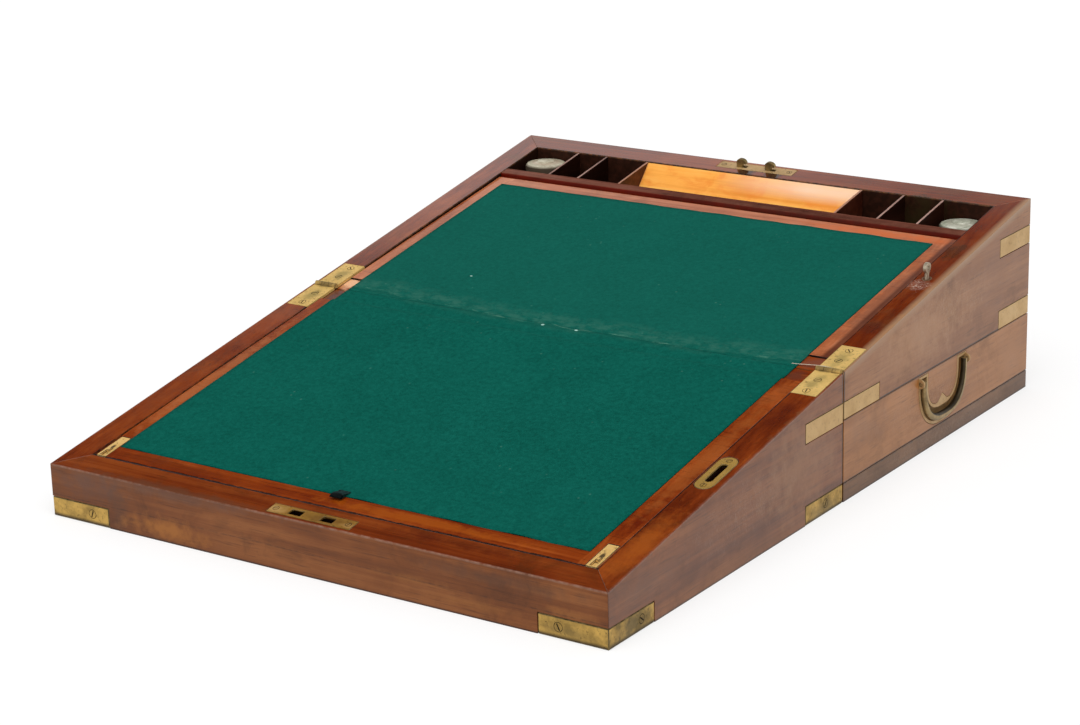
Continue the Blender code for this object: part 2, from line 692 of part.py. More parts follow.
def lock_hooks(name):
    """Sliding bolt: a bar with two round-topped hooks that stand out of the rim."""
    half = HOOK_THICK / 2
    first, last = hook_starts()
    made = box(name, (first - HOOK_BAR_END, -half, -HOOK_BAR_BOTTOM),
               (last + HOOK_WIDTH + HOOK_BAR_END, half, -HOOK_BAR_TOP))
    spring = HOOK_UNDERCUT + HOOK_LIP
    turns = [math.pi * i / ROUND_SIDES for i in range(ROUND_SIDES + 1)]
    for start in (first, last):
        middle = start + HOOK_WIDTH / 2
        outline = [(start, -HOOK_BAR_BOTTOM), (start + HOOK_STEM, -HOOK_BAR_BOTTOM),
                   (start + HOOK_STEM, HOOK_UNDERCUT), (start + HOOK_WIDTH, HOOK_UNDERCUT)]
        outline += [(middle + HOOK_WIDTH / 2 * math.cos(t), spring + (HOOK_HEIGHT - spring) * math.sin(t))
                    for t in turns]
        fuse(made, prism("hook", outline, "Y", -half, half))
    return place(made, lock_frame(1))


def strike_slots(low, high):
    """Cutters for the two slots that take the hooks."""
    half = STRIKE_SLOT_WIDTH / 2
    return [box("slot", (start - HOOK_PLAY, -half, low), (start + HOOK_WIDTH + HOOK_PLAY, half, high), lock_frame(-1))
            for start in hook_starts()]


def strike_plate(name):
    half_length = LOCK_FACE_LENGTH / 2
    half_width = LOCK_FACE_WIDTH / 2
    made = box(name, (LOCK_X - half_length, -half_width, -LOCK_FACE), (LOCK_X + half_length, half_width, 0),
               lock_frame(-1))
    cut(made, *strike_slots(-LOCK_FACE - OVERSHOOT, OVERSHOOT))
    return made


def cut_strike_seat(wall):
    """Pocket for the strike plate and the mortise that the hooks slide in."""
    frame = lock_frame(-1)
    half_length = LOCK_FACE_LENGTH / 2 + CLEAR
    half_width = LOCK_FACE_WIDTH / 2 + CLEAR
    first, last = hook_starts()
    half = STRIKE_SLOT_WIDTH / 2
    cut(wall, box("pocket", (LOCK_X - half_length, -half_width, -LOCK_FACE - CLEAR),
                  (LOCK_X + half_length, half_width, OVERSHOOT), frame))
    cut(wall, box("mortise", (first - HOOK_PLAY, -half, -STRIKE_MORTISE_DEPTH),
                  (last + HOOK_WIDTH + HOOK_TRAVEL + HOOK_PLAY, half, 0), frame))


def keyhole_height():
    return BACK_HEIGHT - KEYHOLE_DROP


def key_bore(start):
    """Round part of the keyhole, from a depth out through the back face."""
    return prism("bore", circle(LOCK_X, keyhole_height(), KEYHOLE_RADIUS), "Y", start, HALF_DEPTH + OVERSHOOT)


def key_plate_outline(grow=0.0):
    turns = [2 * math.pi * i / TURNED_SIDES for i in range(TURNED_SIDES)]
    centre = keyhole_height() - KEYHOLE_SLOT_DROP / 2
    return [(LOCK_X + (KEY_PLATE_WIDTH / 2 + grow) * math.cos(t),
             centre + (KEY_PLATE_HEIGHT / 2 + grow) * math.sin(t)) for t in turns]


def key_plate(name):
    """Oval plate round the keyhole on the base's outer face."""
    made = prism(name, key_plate_outline(), "Y", HALF_DEPTH - KEY_PLATE, HALF_DEPTH)
    cut(made, key_bore(HALF_DEPTH - KEY_PLATE - OVERSHOOT), key_slot(HALF_DEPTH - KEY_PLATE - OVERSHOOT))
    return made


def key_slot(start):
    """Narrow lower part of the keyhole."""
    half = KEYHOLE_SLOT_WIDTH / 2
    top = keyhole_height()
    return box("slot", (LOCK_X - half, start, top - KEYHOLE_SLOT_DROP), (LOCK_X + half, HALF_DEPTH + OVERSHOOT, top))


def cut_lock_seat(wall):
    """Mortise for the lock in the back wall, with the keyhole and the pocket for its plate."""
    cut(wall, lock_prism(LOCK_CASE_LENGTH, LOCK_CASE_DEPTH, CLEAR, OVERSHOOT))
    cut(wall, lock_prism(LOCK_FACE_LENGTH, LOCK_FACE, CLEAR, OVERSHOOT))
    inside = LOCK_Y + LOCK_FACE_WIDTH / 2
    cut(wall, key_bore(inside), key_slot(inside))
    cut(wall, prism("pocket", key_plate_outline(CLEAR), "Y", HALF_DEPTH - KEY_PLATE - CLEAR, HALF_DEPTH + OVERSHOOT))


def drawer_pin(name):
    """Upright pin with a flat ring for a head, raised so that the drawer can slide."""
    foot = BAY_TOP + CLEAR
    neck_top = rim(PIN_Y) + PIN_NECK
    made = prism(name, circle(PIN_X, PIN_Y, PIN_RADIUS, 12), "Z", foot, neck_top)
    middle = neck_top + PIN_HEAD / 2 - CLEAR
    low, high = PIN_X - PIN_HEAD_THICK / 2, PIN_X + PIN_HEAD_THICK / 2
    fuse(made, prism("head", circle(PIN_Y, middle, PIN_HEAD / 2), "X", low, high))
    cut(made, prism("eye", circle(PIN_Y, middle, PIN_HEAD_HOLE), "X", low - OVERSHOOT, high + OVERSHOOT))
    return made


def pin_plate_frame():
    return RIM_FRAME @ Matrix.Translation((PIN_X, -PIN_Y / math.cos(TILT), 0))


def pin_plate(name):
    """Round-ended plate with a slot for the pin's head."""
    made = prism(name, stadium(PIN_PLATE_LENGTH, PIN_PLATE_WIDTH), "Z", -PIN_PLATE, 0, pin_plate_frame())
    cut(made, pin_slot(-PIN_PLATE - OVERSHOOT))
    return made


def pin_slot(low):
    return prism("slot", stadium(PIN_SLOT_LENGTH, PIN_SLOT_WIDTH), "Z", low, OVERSHOOT, pin_plate_frame())


def cut_pin_plate_seat(wall):
    outline = stadium(PIN_PLATE_LENGTH + 2 * CLEAR, PIN_PLATE_WIDTH + 2 * CLEAR)
    cut(wall, prism("pocket", outline, "Z", -PIN_PLATE - CLEAR, OVERSHOOT, pin_plate_frame()))
    cut(wall, pin_slot(-PIN_SLOT_DEPTH))


# Flaps, baize and catches. Flap frames have their origin on the flap's axis and y along the flap.

def field(length, border, grow=0.0):
    """Span of the baize on a flap: it runs over the hinge edge and stops at the borders."""
    sign = math.copysign(1, length)
    end = length - sign * (border - grow)
    return (-FLAP_HALF + BORDER_LEFT - grow, FLAP_HALF - BORDER_RIGHT + grow, end)


def flap(name, length, border, frame):
    """Board with a shallow recess that the baize lies in."""
    near, far = sorted((0, length))
    made = box(name, (-FLAP_HALF, near, -FLAP_UNDER), (FLAP_HALF, far, -FLAP_TOP), frame)
    left, right, end = field(length, border, CLEAR)
    near, far = sorted((end, -math.copysign(OVERSHOOT, length)))
    depth = BAIZE - BAIZE_PROUD + CLEAR
    cut(made, box("recess", (left, near, -FLAP_TOP - depth), (right, far, OVERSHOOT), frame))
    return made


def baize(name, length, border, frame):
    left, right, end = field(length, border)
    near, far = sorted((end, 0))
    bottom = -FLAP_TOP + BAIZE_PROUD - BAIZE
    return box(name, (left, near, bottom), (right, far, bottom + BAIZE), frame)


def pull_tab(frame):
    """Short tab glued on the lid baize's front edge."""
    edge = field(-LID_FLAP_LENGTH, BORDER_FRONT)[2]
    low = -FLAP_TOP + BAIZE_PROUD / 2
    return box("tab", (TAB_X - TAB_WIDTH / 2, edge - TAB_LENGTH + TAB_OVERLAP, low),
               (TAB_X + TAB_WIDTH / 2, edge + TAB_OVERLAP, low + TAB_THICK), frame)


def catch_x(side):
    return side * (FLAP_HALF - CATCH_EDGE - CATCH_WIDTH / 2)


def catch_nub_span():
    """Span of the thumb nub along the flap at rest."""
    start = -LID_FLAP_LENGTH + CATCH_BOLT_SETBACK + CATCH_NUB_BACK
    return start, start + CATCH_NUB_LENGTH


def catch_plate(name, side):
    x = catch_x(side)
    front = -LID_FLAP_LENGTH + CLEAR
    made = box(name, (x - CATCH_WIDTH / 2, front, -FLAP_TOP - CATCH_PLATE),
               (x + CATCH_WIDTH / 2, front + CATCH_LENGTH, -FLAP_TOP), LID_FLAP_FRAME)
    start, end = catch_nub_span()
    half = CATCH_NUB_WIDTH / 2 + CLEAR
    cut(made, box("slot", (x - half, start - CATCH_TRAVEL - CLEAR, -FLAP_TOP - CATCH_PLATE - OVERSHOOT),
                  (x + half, end + CLEAR, OVERSHOOT), LID_FLAP_FRAME))
    return made


def catch_bolt(name, side):
    """Bolt under the plate, with the nub that a thumb slides it by."""
    x = catch_x(side)
    top = -FLAP_TOP - CATCH_PLATE - CLEAR
    front = -LID_FLAP_LENGTH + CATCH_BOLT_SETBACK
    made = box(name, (x - CATCH_BOLT_WIDTH / 2, front, top - CATCH_BOLT_THICK),
               (x + CATCH_BOLT_WIDTH / 2, front + CATCH_BOLT_LENGTH, top), LID_FLAP_FRAME)
    start, end = catch_nub_span()
    half = CATCH_NUB_WIDTH / 2
    fuse(made, box("nub", (x - half, start, top - CATCH_BOLT_THICK / 2),
                   (x + half, end, -FLAP_TOP + CATCH_NUB_RISE), LID_FLAP_FRAME))
    return made


def cut_catch_seat(board, side):
    """Pocket for the plate and the groove that the bolt slides in."""
    x = catch_x(side)
    front = -LID_FLAP_LENGTH
    half = CATCH_WIDTH / 2 + CLEAR
    plate_bottom = -FLAP_TOP - CATCH_PLATE - CLEAR
    cut(board, box("pocket", (x - half, front - OVERSHOOT, plate_bottom),
                   (x + half, front + CATCH_LENGTH + 2 * CLEAR, OVERSHOOT), LID_FLAP_FRAME))
    half = CATCH_BOLT_WIDTH / 2 + CLEAR
    cut(board, box("groove", (x - half, front - OVERSHOOT, plate_bottom - CATCH_BOLT_THICK - CLEAR),
                   (x + half, front + CATCH_BOLT_SETBACK + CATCH_BOLT_LENGTH + CLEAR, OVERSHOOT), LID_FLAP_FRAME))


def catch_mortise(side):
    """Hole under the lid's front rim that the bolt shoots into."""
    x = catch_x(side)
    half = CATCH_BOLT_WIDTH / 2 + CATCH_MORTISE_PLAY
    face = -BACK_INSIDE / math.cos(TILT)
    return box("mortise", (x - half, face - CATCH_MORTISE_DEPTH, -CATCH_MORTISE_ROOF - CATCH_MORTISE_HEIGHT),
               (x + half, face + OVERSHOOT, -CATCH_MORTISE_ROOF), RIM_FRAME)


# Compartments behind the base flap

def pen_rail(name):
    """Rail with a rounded front edge and the ledge that carries the back of the base flap."""
    turns = [math.pi / 2 * i / 4 for i in range(5)]
    low = rim(RAIL_FRONT) - RAIL_ROUND
    rounded = [(RAIL_FRONT + RAIL_ROUND * (1 - math.cos(t)), low + RAIL_ROUND * math.sin(t)) for t in turns]
    out = RAIL_FRONT - LEDGE
    bottom = base_flap_seat(out) - LEDGE
    outline = [(RAIL_BACK, DECK_TOP + GLUE), (RAIL_BACK, rim(RAIL_BACK))] + rounded[::-1]
    outline += [(RAIL_FRONT, base_flap_seat(RAIL_FRONT)), (out, base_flap_seat(out)), (out, bottom)]
    outline += [(RAIL_FRONT, bottom), (RAIL_FRONT, DECK_TOP + GLUE)]
    return prism(name, outline, "X", -INSIDE + GLUE, INSIDE - GLUE)


def divider(name, low, height_gap=GLUE):
    """Thin upright board from the deck to just under the rim."""
    front = RAIL_BACK + GLUE
    back = BACK_INSIDE - GLUE
    outline = [(front, DECK_TOP + height_gap), (back, DECK_TOP + height_gap),
               (back, below_rim(back, DIVIDER_DROP)), (front, below_rim(front, DIVIDER_DROP))]
    return prism(name, outline, "X", low, low + DIVIDER)


def tray_section():
    """Section of the tray's floor: flat by the rail, coved up into a steep slope against the back wall."""
    front = RAIL_BACK + CLEAR
    back = BACK_INSIDE - CLEAR
    top = below_rim(back, TRAY_DROP)
    cove = TRAY_COVE_RADIUS
    turn_in = front + TRAY_FLOOR_WIDTH
    rise_start = turn_in + cove * math.sin(TRAY_SLOPE)
    floor = top - (back - rise_start) * math.tan(TRAY_SLOPE) - cove * (1 - math.cos(TRAY_SLOPE))
    turns = [TRAY_SLOPE * i / 5 for i in range(6)]
    upper = [(front, floor)] + [(turn_in + cove * math.sin(t), floor + cove * (1 - math.cos(t))) for t in turns]
    upper.append((back, top))
    lean = TRAY_BOARD / math.cos(TRAY_SLOPE)
    lower = [(back, top - lean)]
    lower += [(turn_in + (cove + TRAY_BOARD) * math.sin(t), floor + cove - (cove + TRAY_BOARD) * math.cos(t))
              for t in turns[::-1]]
    lower.append((front, floor - TRAY_BOARD))
    return upper + lower


def pen_tray(name):
    """Coved floor between two end boards that stand on the deck."""
    front = RAIL_BACK + CLEAR
    back = BACK_INSIDE - CLEAR
    end = [(front, DECK_TOP + CLEAR), (back, DECK_TOP + CLEAR),
           (back, below_rim(back, DIVIDER_DROP)), (front, below_rim(front, DIVIDER_DROP))]
    made = prism(name, tray_section(), "X", TRAY_LEFT + DIVIDER / 2, TRAY_RIGHT - DIVIDER / 2)
    fuse(made, prism("end", end, "X", TRAY_LEFT, TRAY_LEFT + DIVIDER))
    fuse(made, prism("end", end, "X", TRAY_RIGHT - DIVIDER, TRAY_RIGHT))
    return made


def ink_centre(side):
    """Both bottles stand against the back wall, and the right one nearly against the right wall too."""
    x = side * (INSIDE - INK_BAY / 2) + (INK_RIGHT_SHIFT if side > 0 else 0)
    return x, BACK_INSIDE - INK_BACK_PLAY - INK_GLASS / 2


def ink_height(side):
    return INK_RIGHT_HEIGHT if side > 0 else INK_LEFT_HEIGHT


def inkwell(name, side):
    """Square glass bottle with cut corners, a round neck and a bore for the ink."""
    x, y = ink_centre(side)
    half = INK_GLASS / 2
    c = INK_CORNER
    outline = [(-half + c, -half), (half - c, -half), (half, -half + c), (half, half - c),
               (half - c, half), (-half + c, half), (-half, half - c), (-half, -half + c)]
    foot = DECK_TOP + CLEAR
    shoulder = foot + ink_height(side)
    made = prism(name, [(x + a, y + b) for a, b in outline], "Z", foot, shoulder)
    top = shoulder + INK_NECK_HEIGHT
    fuse(made, prism("neck", circle(x, y, INK_NECK_RADIUS), "Z", shoulder - INK_CORNER, top))
    cut(made, prism("bore", circle(x, y, INK_BORE_RADIUS), "Z", top - INK_BORE_DEPTH, top + OVERSHOOT))
    return made


def ink_cap(name, side):
    """Low cap that sits over the neck, with a raised button in the middle of its dome."""
    x, y = ink_centre(side)
    foot = DECK_TOP + ink_height(side) + 2 * CLEAR
    inner = INK_NECK_RADIUS + CLEAR
    roof = foot + INK_NECK_HEIGHT
    top = max(foot + CAP_HEIGHT, roof + CAP_TOP)
    edge = CAP_TOP / 2
    profile = [(0, top), (CAP_BUTTON_RADIUS, top), (CAP_BUTTON_RADIUS + CAP_STEP, top - CAP_STEP),
               (CAP_RADIUS - edge, top - CAP_DOME), (CAP_RADIUS, top - CAP_DOME - edge),
               (CAP_RADIUS, foot), (inner, foot), (inner, roof), (0, roof)]
    return lathe(name, profile, (x, y, 0))


# Drawer

def drawer_boards():
    """Sides, back and bottom of the drawer, as names and solids."""
    front = HINGE_WALL + DRAWER_PLAY
    back = BACK_INSIDE - DRAWER_PLAY
    low = BASE_BOTTOM + CLEAR
    top = low + DRAWER_SIDE_HEIGHT
    far = -INSIDE + DRAWER_BACK_GAP
    head = FRONT_BACK - GLUE
    bottom = low + DRAWER_BOTTOM_RISE
    back_board = far + DRAWER_SIDE
    return {
        "drawer_side_near": box("drawer_side_near", (far, front, low), (head, front + DRAWER_SIDE, top)),
        "drawer_side_far": box("drawer_side_far", (far, back - DRAWER_SIDE, low), (head, back, top)),
        "drawer_back": box("drawer_back", (far, front + DRAWER_SIDE + GLUE, low),
                           (back_board, back - DRAWER_SIDE - GLUE, top)),
        "drawer_bottom": box("drawer_bottom", (back_board + GLUE, front + DRAWER_SIDE + GLUE, bottom),
                             (head, back - DRAWER_SIDE - GLUE, bottom + DRAWER_BOTTOM)),
    }


def drawer_front(name):
    """Front board with the handle's mortise, and a notch behind its top edge for the locking pin."""
    low = BASE_BOTTOM + DRAWER_REVEAL
    top = low + DRAWER_FRONT_HEIGHT
    made = box(name, (FRONT_BACK, JOINT_FACE, low), (WIDTH / 2, HALF_DEPTH, top))
    half = PIN_NOTCH_WIDTH / 2
    cut(made, handle_mortise(1))
    cut(made, box("notch", (FRONT_BACK - OVERSHOOT, PIN_Y - half, top - PIN_NOTCH_DEPTH),
                  (PIN_X + PIN_RADIUS + PIN_NOTCH_PLAY, PIN_Y + half, top + OVERSHOOT)))
    return made


# The two halves

def build_base(looks, base):
    """Fixed woodwork of the base, with its pockets for brass."""
    bottom = [(-INSIDE + GLUE, HINGE_WALL + GLUE), (FRONT_BACK, HINGE_WALL + GLUE), (FRONT_BACK, JOINT_FACE),
              (WIDTH / 2, JOINT_FACE), (WIDTH / 2, HALF_DEPTH), (FRONT_BACK, HALF_DEPTH),
              (FRONT_BACK, BACK_INSIDE - GLUE), (-INSIDE + GLUE, BACK_INSIDE - GLUE)]
    finish(prism("base_bottom_board", bottom, "Z", 0, BASE_BOTTOM), looks["dark wood"], base)
    deck = box("base_deck", (-INSIDE + GLUE, HINGE_WALL + GLUE, BAY_TOP), (INSIDE - GLUE, BACK_INSIDE - GLUE, DECK_TOP))
    finish(deck, looks["inner wood"], base)

    left = side_wall("base_left_wall", -1, JOINT_FACE, HALF_DEPTH, 0)
    right = side_wall("base_right_wall", 1, JOINT_FACE, HALF_DEPTH, BAY_TOP)
    back = cross_wall("base_back_wall", HALF_DEPTH, BACK_INSIDE)
    for side, wall in ((-1, left), (1, right)):
        mitre(wall, side, HALF_DEPTH, -1, False)
        mitre(back, side, HALF_DEPTH, -1, True)
        cut_hinge_seat(wall, side, 1)
    hinge = hinge_wall("base_hinge_wall", 1, base_flap_seat)
    fuse(hinge, box("jamb", (INSIDE - WALL, JOINT_FACE, 0), (FRONT_BACK - CLEAR, HINGE_WALL, BAY_TOP - GLUE)))
    cut(back, box("drawer_end", (FRONT_BACK - CLEAR, 0, -OVERSHOOT), (WIDTH, HALF_DEPTH + OVERSHOOT, BAY_TOP)))
    cut_lock_seat(back)
    cut(left, handle_mortise(-1))
    cut(right, prism("pin_hole", circle(PIN_X, PIN_Y, PIN_RADIUS + CLEAR, 12), "Z", 0, BACK_HEIGHT))
    for side, label, wall in ((-1, "left", left), (1, "right", right)):
        upper = BACK_HEIGHT - BACK_STRAP_DROP - STRAP_HEIGHT
        seats = (("back_upper", HALF_DEPTH, -1, upper, STRAP_HEIGHT, back),
                 ("back_lower", HALF_DEPTH, -1, BAY_TOP, STRAP_HEIGHT, back),
                 ("hinge", JOINT_FACE, 1, BAY_TOP, BASE_HINGE_STRAP_HEIGHT, hinge))
        for place, corner_y, inward, low, height, other in seats:
            for timber in (wall, other):
                cut(timber, strap_pocket(side, corner_y, inward, low, height))
            name = f"base_strap_{place}_{label}"
            finish(strap(name, side, corner_y, inward, low, height), looks["brass"], base)
        leaf = hinge_leaf(f"base_hinge_leaf_{label}", side, 1, (0, 2), True)
        finish(leaf, looks["brass"], base)
    for wall in (left, right, back, hinge):
        finish(wall, looks["base wood"], base)


def build_compartments(looks, base):
    finish(pen_rail("pen_rail"), looks["base wood"], base)
    ink_left = -INSIDE + INK_BAY
    ink_right = INSIDE - INK_BAY - DIVIDER
    places = {"divider_ink_left": ink_left, "divider_slot_left": ink_left + DIVIDER + LEFT_OUTER_SLOT,
              "divider_slot_right": ink_right - RIGHT_OUTER_SLOT - DIVIDER, "divider_ink_right": ink_right}
    for name, low in places.items():
        finish(divider(name, low), looks["base wood"], base)
    tray = carrier("pen_tray_lift", (0, BACK_INSIDE - COMPARTMENT / 2, DECK_TOP), base)
    finish(pen_tray("pen_tray"), looks["tray wood"], tray)
    for side, label in ((-1, "left"), (1, "right")):
        x, y = ink_centre(side)
        well = carrier(f"inkwell_lift_{label}", (x, y, DECK_TOP), base)
        finish(inkwell(f"inkwell_{label}", side), looks["glass"], well)
        cap = carrier(f"inkwell_cap_lift_{label}", (x, y, DECK_TOP + ink_height(side)), well)
        finish(ink_cap(f"inkwell_cap_{label}", side), looks["silver"], cap)


def build_lock(looks, base):
    finish(lock_case("lock_case"), looks["brass"], base)
    finish(key_plate("key_escutcheon"), looks["brass"], base)
    bolt = carrier("lock_slide", (LOCK_X, LOCK_Y, rim(LOCK_Y)), base)
    finish(lock_hooks("lock_hooks"), looks["brass"], bolt)
    pin = carrier("drawer_pin_slide", (PIN_X, PIN_Y, BAY_TOP), base)
    finish(drawer_pin("drawer_pin"), looks["brass"], pin)


def build_handles(looks, base, drawer):
    for side, label, holder in ((1, "drawer", drawer), (-1, "left", base)):
        finish(handle_plate(f"{label}_handle_plate", side), looks["brass"], holder)
        pivot = carrier(f"{label}_bail_pivot", (side * (WIDTH / 2 + BAIL_STANDOFF), HANDLE_Y, HANDLE_PIVOT_Z), holder)
        finish(bail(f"{label}_handle_bail", side), looks["brass"], pivot)


def build_drawer(looks, drawer):
    finish(drawer_front("drawer_front"), looks["base wood"], drawer)
    for board in drawer_boards().values():
        finish(board, looks["inner wood"], drawer)


def build_lid(looks, lid):
    """Fixed woodwork of the lid, with its pockets for brass."""
    board = box("lid_board", (-INSIDE + GLUE, -BACK_INSIDE + GLUE, 0), (INSIDE - GLUE, -HINGE_WALL - GLUE, LID_BOARD))
    finish(board, looks["lid wood"], lid)
    left = side_wall("lid_left_wall", -1, -HALF_DEPTH, -JOINT_FACE, 0)
    right = side_wall("lid_right_wall", 1, -HALF_DEPTH, -JOINT_FACE, 0)
    front = cross_wall("lid_front_wall", -HALF_DEPTH, -BACK_INSIDE, lid_flap_seat)
    hinge = hinge_wall("lid_hinge_wall", -1, lid_flap_seat)
    for side, label, wall in ((-1, "left", left), (1, "right", right)):
        mitre(wall, side, -HALF_DEPTH, 1, False)
        mitre(front, side, -HALF_DEPTH, 1, True)
        cut_hinge_seat(wall, side, -1)
        for place, corner_y, inward, other in (("front", -HALF_DEPTH, 1, front), ("hinge", -JOINT_FACE, -1, hinge)):
            for timber in (wall, other):
                cut(timber, strap_pocket(side, corner_y, inward, 0), flange_pocket(side, corner_y, inward))
            finish(bracket(f"lid_bracket_{place}_{label}", side, corner_y, inward), looks["brass"], lid)
        bottom = HINGE_HEIGHT - HINGE_STRAP_DROP - STRAP_HEIGHT
        for timber in (wall, hinge):
            cut(timber, strap_pocket(side, -JOINT_FACE, -1, bottom))
        finish(strap(f"lid_strap_hinge_{label}", side, -JOINT_FACE, -1, bottom), looks["brass"], lid)
        finish(hinge_leaf(f"lid_hinge_leaf_{label}", side, -1, (1,), False), looks["brass"], lid)
        cut(front, catch_mortise(side))
    cut_strike_seat(front)
    cut_pin_plate_seat(right)
    finish(strike_plate("strike_plate"), looks["brass"], lid)
    finish(pin_plate("pin_escutcheon"), looks["brass"], lid)
    for wall in (left, right, front, hinge):
        finish(wall, looks["lid wood"], lid)


def build_flaps(looks, base, lid):
    base_turn = carrier("base_flap_hinge", BASE_FLAP_FRAME, base)
    finish(flap("base_flap", BASE_FLAP_LENGTH, BORDER_RAIL, BASE_FLAP_FRAME), looks["lid wood"], base_turn)
    finish(baize("base_baize", BASE_FLAP_LENGTH, BORDER_RAIL, BASE_FLAP_FRAME), looks["baize"], base_turn)
    lid_turn = carrier("lid_flap_hinge", LID_FLAP_FRAME, lid)
    board = flap("lid_flap", -LID_FLAP_LENGTH, BORDER_FRONT, LID_FLAP_FRAME)
    cloth = baize("lid_baize", -LID_FLAP_LENGTH, BORDER_FRONT, LID_FLAP_FRAME)
    fuse(cloth, pull_tab(LID_FLAP_FRAME))
    finish(cloth, looks["baize"], lid_turn)
    for side, label in ((-1, "left"), (1, "right")):
        cut_catch_seat(board, side)
        finish(catch_plate(f"catch_plate_{label}", side), looks["brass"], lid_turn)
        place = LID_FLAP_FRAME @ Matrix.Translation((catch_x(side), -LID_FLAP_LENGTH, -FLAP_TOP))
        slide = carrier(f"catch_slide_{label}", place, lid_turn)
        finish(catch_bolt(f"catch_bolt_{label}", side), looks["brass"], slide)
    finish(board, looks["lid wood"], lid_turn)


def make_looks():
    return {
        "lid wood": material("lid mahogany", (0.30, 0.075, 0.025), 0.35),
        "base wood": material("base mahogany", (0.24, 0.10, 0.06), 0.4),
        "dark wood": material("bottom board", (0.13, 0.07, 0.045), 0.5),
        "inner wood": material("inside timber", (0.16, 0.06, 0.03), 0.6),
        "tray wood": material("pen tray wood", (0.85, 0.36, 0.09), 0.5),
        "brass": material("brass", (0.62, 0.44, 0.17), 0.35, 1.0),
        "silver": material("cap metal", (0.66, 0.63, 0.55), 0.3, 1.0),
        "glass": material("ink glass", (0.55, 0.62, 0.58), 0.05),
        "baize": material("green baize", (0.008, 0.11, 0.075), 0.95),
    }


def main():
    for old in list(bpy.data.objects):
        bpy.data.objects.remove(old)
    looks = make_looks()
    base = carrier("writing_box", (0, 0, 0))
    lid = carrier("lid_hinge", LID_AXIS, base)
    drawer = carrier("drawer_slide", (FRONT_BACK, HALF_DEPTH / 2, BASE_BOTTOM), base)
    build_base(looks, base)
    build_compartments(looks, base)
    build_lock(looks, base)
    build_drawer(looks, drawer)
    build_handles(looks, base, drawer)
    build_lid(looks, lid)
    build_flaps(looks, base, lid)


main()
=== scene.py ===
"""Looks of the travel writing desk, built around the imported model.

Everything is in metres in the CAD frame: +Z up, X along the width, y = 0 on the hinge line, the lid at
negative y. The lists of marks, screws and profiles are in millimetres.
"""
from functools import cached_property
import math

import bmesh
import bpy
from mathutils import Matrix, Vector, noise


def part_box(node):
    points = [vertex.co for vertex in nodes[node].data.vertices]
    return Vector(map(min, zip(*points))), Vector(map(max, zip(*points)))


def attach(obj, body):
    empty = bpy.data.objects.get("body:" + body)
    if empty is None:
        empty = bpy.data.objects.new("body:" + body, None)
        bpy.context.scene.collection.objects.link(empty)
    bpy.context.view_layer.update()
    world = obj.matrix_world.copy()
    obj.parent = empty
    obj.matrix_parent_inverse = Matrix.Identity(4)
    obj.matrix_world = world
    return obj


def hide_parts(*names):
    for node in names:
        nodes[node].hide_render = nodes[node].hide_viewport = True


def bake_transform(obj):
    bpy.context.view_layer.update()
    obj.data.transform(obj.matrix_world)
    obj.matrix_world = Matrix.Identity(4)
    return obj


MM = 0.001

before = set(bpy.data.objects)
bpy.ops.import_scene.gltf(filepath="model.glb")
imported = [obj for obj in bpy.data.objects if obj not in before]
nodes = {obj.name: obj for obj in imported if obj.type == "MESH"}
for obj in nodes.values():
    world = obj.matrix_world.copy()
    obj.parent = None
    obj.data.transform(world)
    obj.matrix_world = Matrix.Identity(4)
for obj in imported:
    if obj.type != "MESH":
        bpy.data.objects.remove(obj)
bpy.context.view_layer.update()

# Sizes shared with the solids
WIDTH = 406 * MM
HALF_DEPTH = 262 * MM
FRONT_HEIGHT = 33.5 * MM
BACK_HEIGHT = 132.5 * MM
WALL = 18.5 * MM
HINGE_HEIGHT = (FRONT_HEIGHT + BACK_HEIGHT) / 2
SLOPE = (BACK_HEIGHT - FRONT_HEIGHT) / (2 * HALF_DEPTH)
TILT = math.atan(SLOPE)
INSIDE = WIDTH / 2 - WALL
END_INSIDE = HALF_DEPTH - WALL
BORDER_INSIDE = 170 * MM
CAP_LEFT = (-166.4 * MM, 228 * MM)
CAP_RIGHT = (168.8 * MM, 228 * MM)
LOCK_Y = 254.6 * MM
PIN_X = 192 * MM
PIN_Y = 131 * MM
BAIL_Y = 134 * MM
BAIL_Z = 47.1 * MM

# Camera: place, heading, height angle and roll of the photograph's view, for a frame of 1080 by 725
CAMERA_PLACE = (0.94992, -1.39646, 0.59197)
CAMERA_HEADING = math.radians(34.74)
CAMERA_RISE = math.radians(17.539)
CAMERA_ROLL = math.radians(-1.557)
CAMERA_LENS = 91.869
CAMERA_SENSOR = 36

# Light levels: what gloss sees low and high in the room, where that changes, and what lights matte surfaces
BACKDROP = 1.0
CEILING = 0.03
BACKDROP_TOP = 0.580
CEILING_FOOT = 0.613
CEILING_LEAN = (-0.128, 0, 1)
AMBIENT = 0.55
SOFTBOX_TOWARD = (-0.25, 0.45, -0.86)
SOFTBOX_SPREAD = math.radians(70)
SOFTBOX_POWER = 2.0

# Floor: its shade for bounced light, the shade and glow that it shows, its reach and its place under the part
FLOOR_PALE = 0.56
FLOOR_SHOWN = 0.40
FLOOR_LIFT = 0.60
FLOOR_REACH = 30
FLOOR_DROP = 0.05 * MM


def rim(y, drop=0.0):
    """Height of the rim plane at a depth y, or of the plane that lies a square distance below it."""
    return HINGE_HEIGHT + SLOPE * y - drop / math.cos(TILT)


# Node building

# Upward part of a normal at which a face begins to count as a top, and at which it fully does
TOP_FROM = 0.55
TOP_FULL = 0.80


